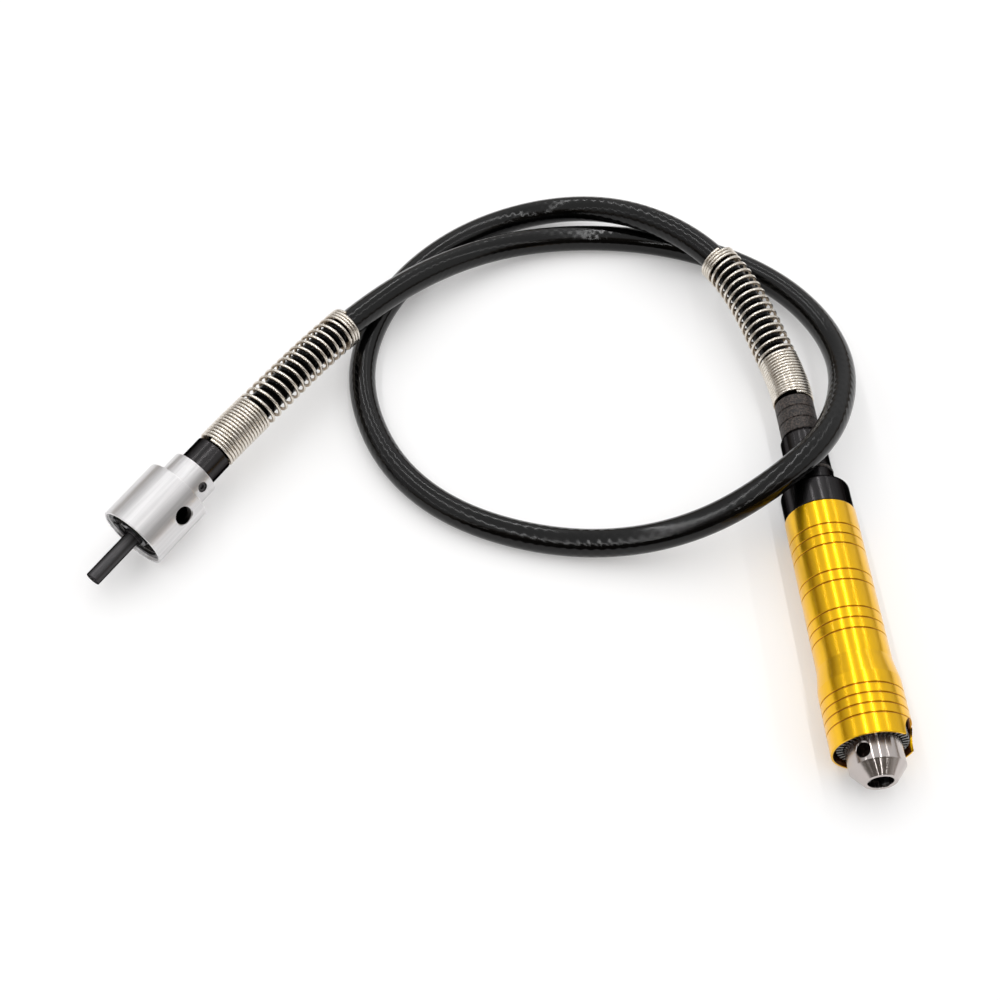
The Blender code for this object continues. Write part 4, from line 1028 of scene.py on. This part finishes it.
def cut_flat(mesh, point, normal):
    geometry = mesh.verts[:] + mesh.edges[:] + mesh.faces[:]
    place = Vector(point) * MM
    cut = bmesh.ops.bisect_plane(mesh, geom=geometry, plane_co=place, plane_no=normal, clear_outer=True)
    edges = [item for item in cut["geom_cut"] if isinstance(item, bmesh.types.BMEdge)]
    bmesh.ops.edgeloop_fill(mesh, edges=edges)


def jaw_turn(i):
    """The jaws lie midway between the key holes."""
    return Matrix.Rotation(KEY_HOLE_ANGLE + (i + 0.5) * THIRD, 4, "Z")


def make_chuck():
    outline = [
        (0.0, SPINDLE_STOP), (SPINDLE_SOCKET, SPINDLE_STOP), (SPINDLE_SOCKET, CHUCK_REAR),
        (FLANGE_RADIUS, CHUCK_REAR, 0.2), (FLANGE_RADIUS, FLANGE_END, 0.2), (CHUCK_RADIUS, FLANGE_END),
        (CHUCK_RADIUS, NUT_START), (NUT_SEAT, NUT_START), (NUT_SEAT, NUT_END), (CHUCK_RADIUS, NUT_END),
        (CHUCK_RADIUS, CONE_START, 0.35), (NOSE_RADIUS, NOSE, 0.2), (BIT_MOUTH, NOSE, 0.2),
        (BIT_STEP, BIT_STEP_START), (BIT_BORE, BIT_STEP_START), (BIT_BORE, BIT_FLOOR), (0.0, BIT_FLOOR),
    ]
    cutters = []
    for i in range(JAWS):
        cutters.append(moved(slanted_rod(CHANNEL_RADIUS, *CHANNEL_ENDS), jaw_turn(i)))
        place = radial(KEY_HOLE_ANGLE + i * THIRD, KEY_HOLE_FLOOR, KEY_HOLE_ALONG)
        cutters.append(moved(flared_rod(**KEY_HOLE), place))
    body = spun(rounded(outline))
    piece("chuck", body, HANDPIECE, CHUCK_STEEL, "spindle", ["chuck_body"], cutters)


def make_jaws():
    half = THIRD / 2
    for i in range(JAWS):
        mesh = slanted_rod(JAW_RADIUS, *JAW_BLANK)
        for sign in (1, -1):
            cut_flat(mesh, (JAW_EDGE, 0, 0), (-math.sin(half), sign * math.cos(half), 0))
        cut_flat(mesh, (0, 0, JAW_END), (0, 0, 1))
        cut_flat(mesh, (0, 0, JAW_START), (0, 0, -1))
        body = f"jaw_{i + 1}"
        node = f"chuck_jaw_{i + 1}"
        piece(f"grip_{body}", moved(mesh, jaw_turn(i)), HANDPIECE, DARK_STEEL, body, [node])


def make_chuck_ring():
    outline = [
        (RING_BORE, RING_REAR), (RING_RADIUS, RING_REAR, 0.2), (RING_RADIUS, RING_FRONT, 0.15),
        (TEETH_BORE, RING_FRONT), (TEETH_BORE, NUT_END), (RING_BORE, NUT_END),
    ]
    gap = TOOTH_GAP[:1] + [(-half, along) for half, along in TOOTH_GAP] + TOOTH_GAP[:0:-1]
    gaps = [standing(prism(gap, GAP_DEPTH), GAP_FLOOR, TURN * i / TEETH) for i in range(TEETH)]
    ring = spun(rounded(outline), RING_SIDES)
    piece("toothed_ring", ring, HANDPIECE, SHADED_RING_STEEL, "chuck_ring", ["chuck_ring"], [joined(gaps)])


# Coupling

# The cup with its neck, and the two holes in its side
CUP_STEP = 26.4
CUP_NECK = 10.05
CUP_END = 36.3
CUP_LIP = 13.0
LIP_DEPTH = 0.8
CLIP_GROOVE = 12.7
GROOVE_START = 1.0
GROOVE_END = 2.2
BEARING_SEAT = 12.3
BEARING_STOP = 10.5
CUP_WELL = 11.0
CUP_FLOOR = 24.0
FERRULE_SEAT = 8.3
ACCESS_ALONG = 17.4
ACCESS_FLOOR = 6.7
ACCESS_HOLE = {"radius": 3.7, "start": 6.7, "mouth": 4.05, "end": 7.05, "length": 12, "sides": 64}
SMALL_HOLE_ALONG = 31.5
SMALL_HOLE_FLOOR = 6.0
SMALL_HOLE = {"radius": 2.1, "length": 8, "sides": 40}

# The ferrule
FERRULE_START = 27.0
FERRULE_RADIUS = 8.0
FERRULE_STOP = 30.0

# The shank with a centre hole in its end, a groove for its clip, and the boss that holds the core
SHANK_END = -22.0
SHANK_RADIUS = 3.0
SHANK_SIDES = 64
CENTRE_TIP = -18.2
CENTRE_CONE = -18.9
CENTRE_EDGE = -21.4
CENTRE_RADIUS = 1.35
CENTRE_MOUTH = 1.75
JOURNAL_RADIUS = 4.0
SHANK_GROOVE = 3.6
BOSS_START = 10.7
BOSS_END = 22.9
BOSS_RADIUS = 7.0
SCREW_HOLE = {"radius": 2.2, "length": 14, "sides": 32}

# A set screw's point, the chamfer beside it and the floor of its socket, as shares of its radius or length
SCREW_POINT = 0.7
SCREW_CHAMFER = 0.3
SCREW_SOCKET = 0.4
SCREW_SIDES = 40
SOCKET_SIDES = 6

# The spring clips: their place, their ears, the hole in each ear, and the steps of their outline
CLIP_PLACE = 1.2
CLIP_THICKNESS = 0.8
EAR_WIDTH = 2.0
EAR_STEPS = 7
BAND_STEPS = 40
BAND_START = 0.01
EAR_HOLE = {"radius": 0.42, "length": 3, "sides": 24}
EAR_HOLE_INSET = 0.75

# The bearing: two races with a track as (along from the middle, depth), the balls and their ribbon cage
RACE_START = 2.2
RACE_END = 10.2
BEARING_MIDDLE = 6.2
OUTER_RACE = (10.25, 12.0)
INNER_RACE = (4.3, 6.05)
TRACK = [(-1.4, 0.0), (-0.8, 0.07), (0.0, 0.10), (0.8, 0.07), (1.4, 0.0)]
BALLS = 7
BALL_RADIUS = 1.9
BALL_SEGMENTS = {"u_segments": 28, "v_segments": 20}
PITCH_RADIUS = 8.15
POCKET_GAP = 0.12
RIBBON_RADII = (7.0, 9.3)
RIBBON_THICKNESS = 0.35
RIBBON_LIFT = 0.06
RIBBON_SIDES = 168


def make_cup():
    outline = [
        (CUP_LIP, 0.0, 0.15), (CUP_RADIUS, 0.0, 0.35), (CUP_RADIUS, CUP_STEP, 0.35),
        (CUP_NECK, CUP_STEP, 0.2), (CUP_NECK, CUP_END, 0.3), (FERRULE_SEAT, CUP_END, 0.15),
        (FERRULE_SEAT, CUP_FLOOR), (CUP_WELL, CUP_FLOOR), (CUP_WELL, BEARING_STOP),
        (BEARING_SEAT, BEARING_STOP), (BEARING_SEAT, GROOVE_END), (CLIP_GROOVE, GROOVE_END),
        (CLIP_GROOVE, GROOVE_START), (CUP_LIP, LIP_DEPTH),
    ]
    access = moved(flared_rod(**ACCESS_HOLE), radial(HOLES_ANGLE, ACCESS_FLOOR, ACCESS_ALONG))
    small = moved(rod(**SMALL_HOLE), radial(HOLES_ANGLE, SMALL_HOLE_FLOOR, SMALL_HOLE_ALONG))
    mesh = spun(rounded(outline))
    piece("cup", mesh, COUPLING, ALUMINIUM, "casing", ["coupling_cup"], [access, small])


def make_ferrule():
    outline = [
        (CORE_BORE, FERRULE_START), (FERRULE_RADIUS, FERRULE_START), (FERRULE_RADIUS, FERRULE_END, 0.35),
        (HOSE_SOCKET, FERRULE_END), (HOSE_SOCKET, FERRULE_STOP), (CORE_BORE, FERRULE_STOP),
    ]
    mesh = spun(rounded(outline))
    piece("ferrule", mesh, COUPLING, BLACK_ANODISED, "casing", ["drive_ferrule"])


def make_shank():
    outline = [
        (0.0, CENTRE_TIP), (CENTRE_RADIUS, CENTRE_CONE), (CENTRE_RADIUS, CENTRE_EDGE),
        (CENTRE_MOUTH, SHANK_END), (SHANK_RADIUS, SHANK_END, 0.4), (SHANK_RADIUS, 0.0),
        (JOURNAL_RADIUS, 0.0, 0.15), (JOURNAL_RADIUS, GROOVE_START), (SHANK_GROOVE, GROOVE_START),
        (SHANK_GROOVE, GROOVE_END), (JOURNAL_RADIUS, GROOVE_END), (JOURNAL_RADIUS, BOSS_START),
        (BOSS_RADIUS, BOSS_START, 0.3), (BOSS_RADIUS, BOSS_END, 0.4), (CORE_BORE, BOSS_END),
        (CORE_BORE, BOSS_START), (0.0, BOSS_START),
    ]
    hole = moved(rod(**SCREW_HOLE), radial(HOLES_ANGLE, 0.0, ACCESS_ALONG))
    mesh = spun(rounded(outline), SHANK_SIDES)
    piece("shank", mesh, COUPLING, BLACK_OXIDE, "drive_shaft", ["drive_shank"], [hole])


def hex_screw(name, node, body, radius, length, bottom, along, across):
    outline = [(0, 0), (radius * SCREW_POINT, 0), (radius, SCREW_CHAMFER * radius)]
    outline += [(radius, length, 0.15), (0, length)]
    key = prism(arc(across, np.arange(SOCKET_SIDES) * TURN / SOCKET_SIDES), length)
    socket = moved(key, Matrix.Translation((0, 0, length * SCREW_SOCKET * MM)))
    place = COUPLING @ radial(HOLES_ANGLE, bottom, along)
    mesh = spun(rounded(outline), SCREW_SIDES)
    piece(name, mesh, place, BLACK_OXIDE, body, [node], [socket])


def clip_mesh(inner, outer, opening, inner_ear, outer_ear):
    """A flat spring clip that is open on one side, with wider ears beside the opening."""
    half = math.radians(opening / 2)
    ear = half + EAR_WIDTH / outer_ear
    band = np.linspace(ear + BAND_START, math.pi, BAND_STEPS)
    steps = np.concatenate([np.linspace(half, ear, EAR_STEPS), band])
    steps = np.concatenate([steps, TURN - steps[-2::-1]])

    def edge(plain, eared):
        radii = np.where(np.minimum(steps, TURN - steps) < ear + BAND_START / 2, eared, plain)
        return [(r * math.cos(a), r * math.sin(a)) for r, a in zip(radii, steps)]

    mesh = prism(edge(outer, outer_ear) + edge(inner, inner_ear)[::-1], CLIP_THICKNESS)
    return moved(mesh, Matrix.Translation((0, 0, CLIP_PLACE * MM)))


def make_clip(name, node, body, **sizes):
    """A clip with a hole in each ear. The ears lie inside or outside its band."""
    if sizes["inner_ear"] < sizes["inner"]:
        distance = sizes["inner_ear"] + EAR_HOLE_INSET
    else:
        distance = sizes["outer_ear"] - EAR_HOLE_INSET
    turn = math.radians(sizes["opening"] / 2) + EAR_WIDTH / 2 / distance
    holes = []
    for sign in (1, -1):
        pin = moved(rod(**EAR_HOLE), Matrix.Translation((distance * MM, 0, 0)))
        holes.append(moved(pin, Matrix.Rotation(sign * turn, 4, "Z")))
    piece(name, clip_mesh(**sizes), COUPLING, DARK_STEEL, body, [node], holes)


def track(radius, side):
    """A race's shallow track. Side is 1 for an outer race, whose bore is drawn downward, and else -1."""
    return [(radius + side * depth, BEARING_MIDDLE + along) for along, depth in TRACK[::-side]]


def make_races():
    bore, rim = OUTER_RACE
    outer = [(bore, RACE_START, 0.2), (rim, RACE_START, 0.5), (rim, RACE_END, 0.5), (bore, RACE_END, 0.2)]
    outer += track(bore, 1)
    race = ["coupling_bearing_outer_ring"]
    piece("outer_race", spun(rounded(outer)), COUPLING, SHADED_BEARING_PARTS, "casing", race)
    bore, rim = INNER_RACE
    inner = [(bore, RACE_START, 0.3), (rim, RACE_START, 0.2)]
    inner += track(rim, -1)
    inner += [(rim, RACE_END, 0.2), (bore, RACE_END, 0.3)]
    race = ["coupling_bearing_inner_ring"]
    piece("inner_race", spun(rounded(inner)), COUPLING, SHADED_BEARING_PARTS, "drive_shaft", race)


def make_ball_cage():
    parts = []
    for i in range(BALLS):
        ball = bmesh.new()
        bmesh.ops.create_uvsphere(ball, radius=BALL_RADIUS * MM, **BALL_SEGMENTS)
        parts.append(moved(ball, radial(TURN * i / BALLS, PITCH_RADIUS, BEARING_MIDDLE)))
    for sign in (1, -1):
        parts.append(ribbon(sign))
    cage = ["coupling_bearing_ball_cage"]
    piece("ball_cage", joined(parts), COUPLING, SHADED_BEARING_PARTS, "coupling_cage", cage)


def ribbon(sign):
    """One pressed half of the ball cage: a flat ring that bulges around each ball."""
    mesh = bmesh.new()
    rings = []
    pocket = BALL_RADIUS + POCKET_GAP
    inner, outer = RIBBON_RADII
    for i in range(RIBBON_SIDES):
        angle = TURN * i / RIBBON_SIDES
        off = (angle * BALLS / TURN + 0.5) % 1.0 - 0.5
        across = off * TURN / BALLS * PITCH_RADIUS
        low = max(math.sqrt(max(pocket**2 - across**2, 0.0)), RIBBON_LIFT)
        high = low + RIBBON_THICKNESS
        ring = []
        for radius, height in ((inner, low), (outer, low), (outer, high), (inner, high)):
            ring.append(mesh.verts.new(polar(radius, angle, BEARING_MIDDLE + sign * height)))
        rings.append(ring)
    for one, two in zip(rings, rings[1:] + rings[:1]):
        bridge(mesh, one, two)
    return mesh


# Assembly

# CAD solids that are shown as they are: bearing steel, but for these
CARRIED = {
    "bearing_spacer": ALUMINIUM,
    "spindle_set_screw": BLACK_OXIDE,
}
SHANK_SCREW = {"radius": 2.0, "length": 4.0, "bottom": CORE_BORE, "along": ACCESS_ALONG, "across": 1.15}
FERRULE_SCREW = {"radius": 1.9, "length": 1.1, "bottom": 8.3, "along": SMALL_HOLE_ALONG, "across": 1.1}
CUP_CLIP = {"inner": 10.9, "outer": 12.5, "opening": 20.0, "inner_ear": 9.7, "outer_ear": 12.5}
SHANK_CLIP = {"inner": 3.8, "outer": 5.6, "opening": 50.0, "inner_ear": 3.8, "outer_ear": 6.7}


def paint_carried():
    for name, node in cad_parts.items():
        if not node.hide_render:
            node.data.materials.clear()
            node.data.materials.append(CARRIED.get(name, BEARING_STEEL).material)


def make_floor():
    mesh = bmesh.new()
    bmesh.ops.create_grid(mesh, x_segments=FLOOR_CELLS, y_segments=FLOOR_CELLS, size=FLOOR_HALF)
    floor = bpy.data.objects.new("floor", finish_mesh("floor", mesh))
    floor.location = (0.0, 0.0, -FLOOR_DROP)
    floor.data.materials.append(pale_floor().material)
    bpy.context.scene.collection.objects.link(floor)


add_camera()
make_hose()
make_spring("spring_by_cup", "drive_spring", SEAT_GAP - LEAD_OUT, 1)
make_spring("spring_by_grip", "handpiece_spring", LINE.length + LEAD_OUT - SEAT_GAP, -1)
make_grip()
make_cap()
make_neck()
make_o_ring()
make_collar()
make_chuck()
make_jaws()
make_chuck_ring()
make_cup()
make_ferrule()
make_shank()
hex_screw("shank_screw", "shank_set_screw", "drive_shaft", **SHANK_SCREW)
hex_screw("ferrule_screw", "ferrule_set_screw", "casing", **FERRULE_SCREW)
make_clip("cup_clip", "coupling_circlip", "casing", **CUP_CLIP)
make_clip("shank_clip", "shank_circlip", "drive_shaft", **SHANK_CLIP)
make_races()
make_ball_cage()
paint_carried()
make_floor()
add_world()
add_lamps()
bpy.context.scene.view_settings.view_transform = "Standard"
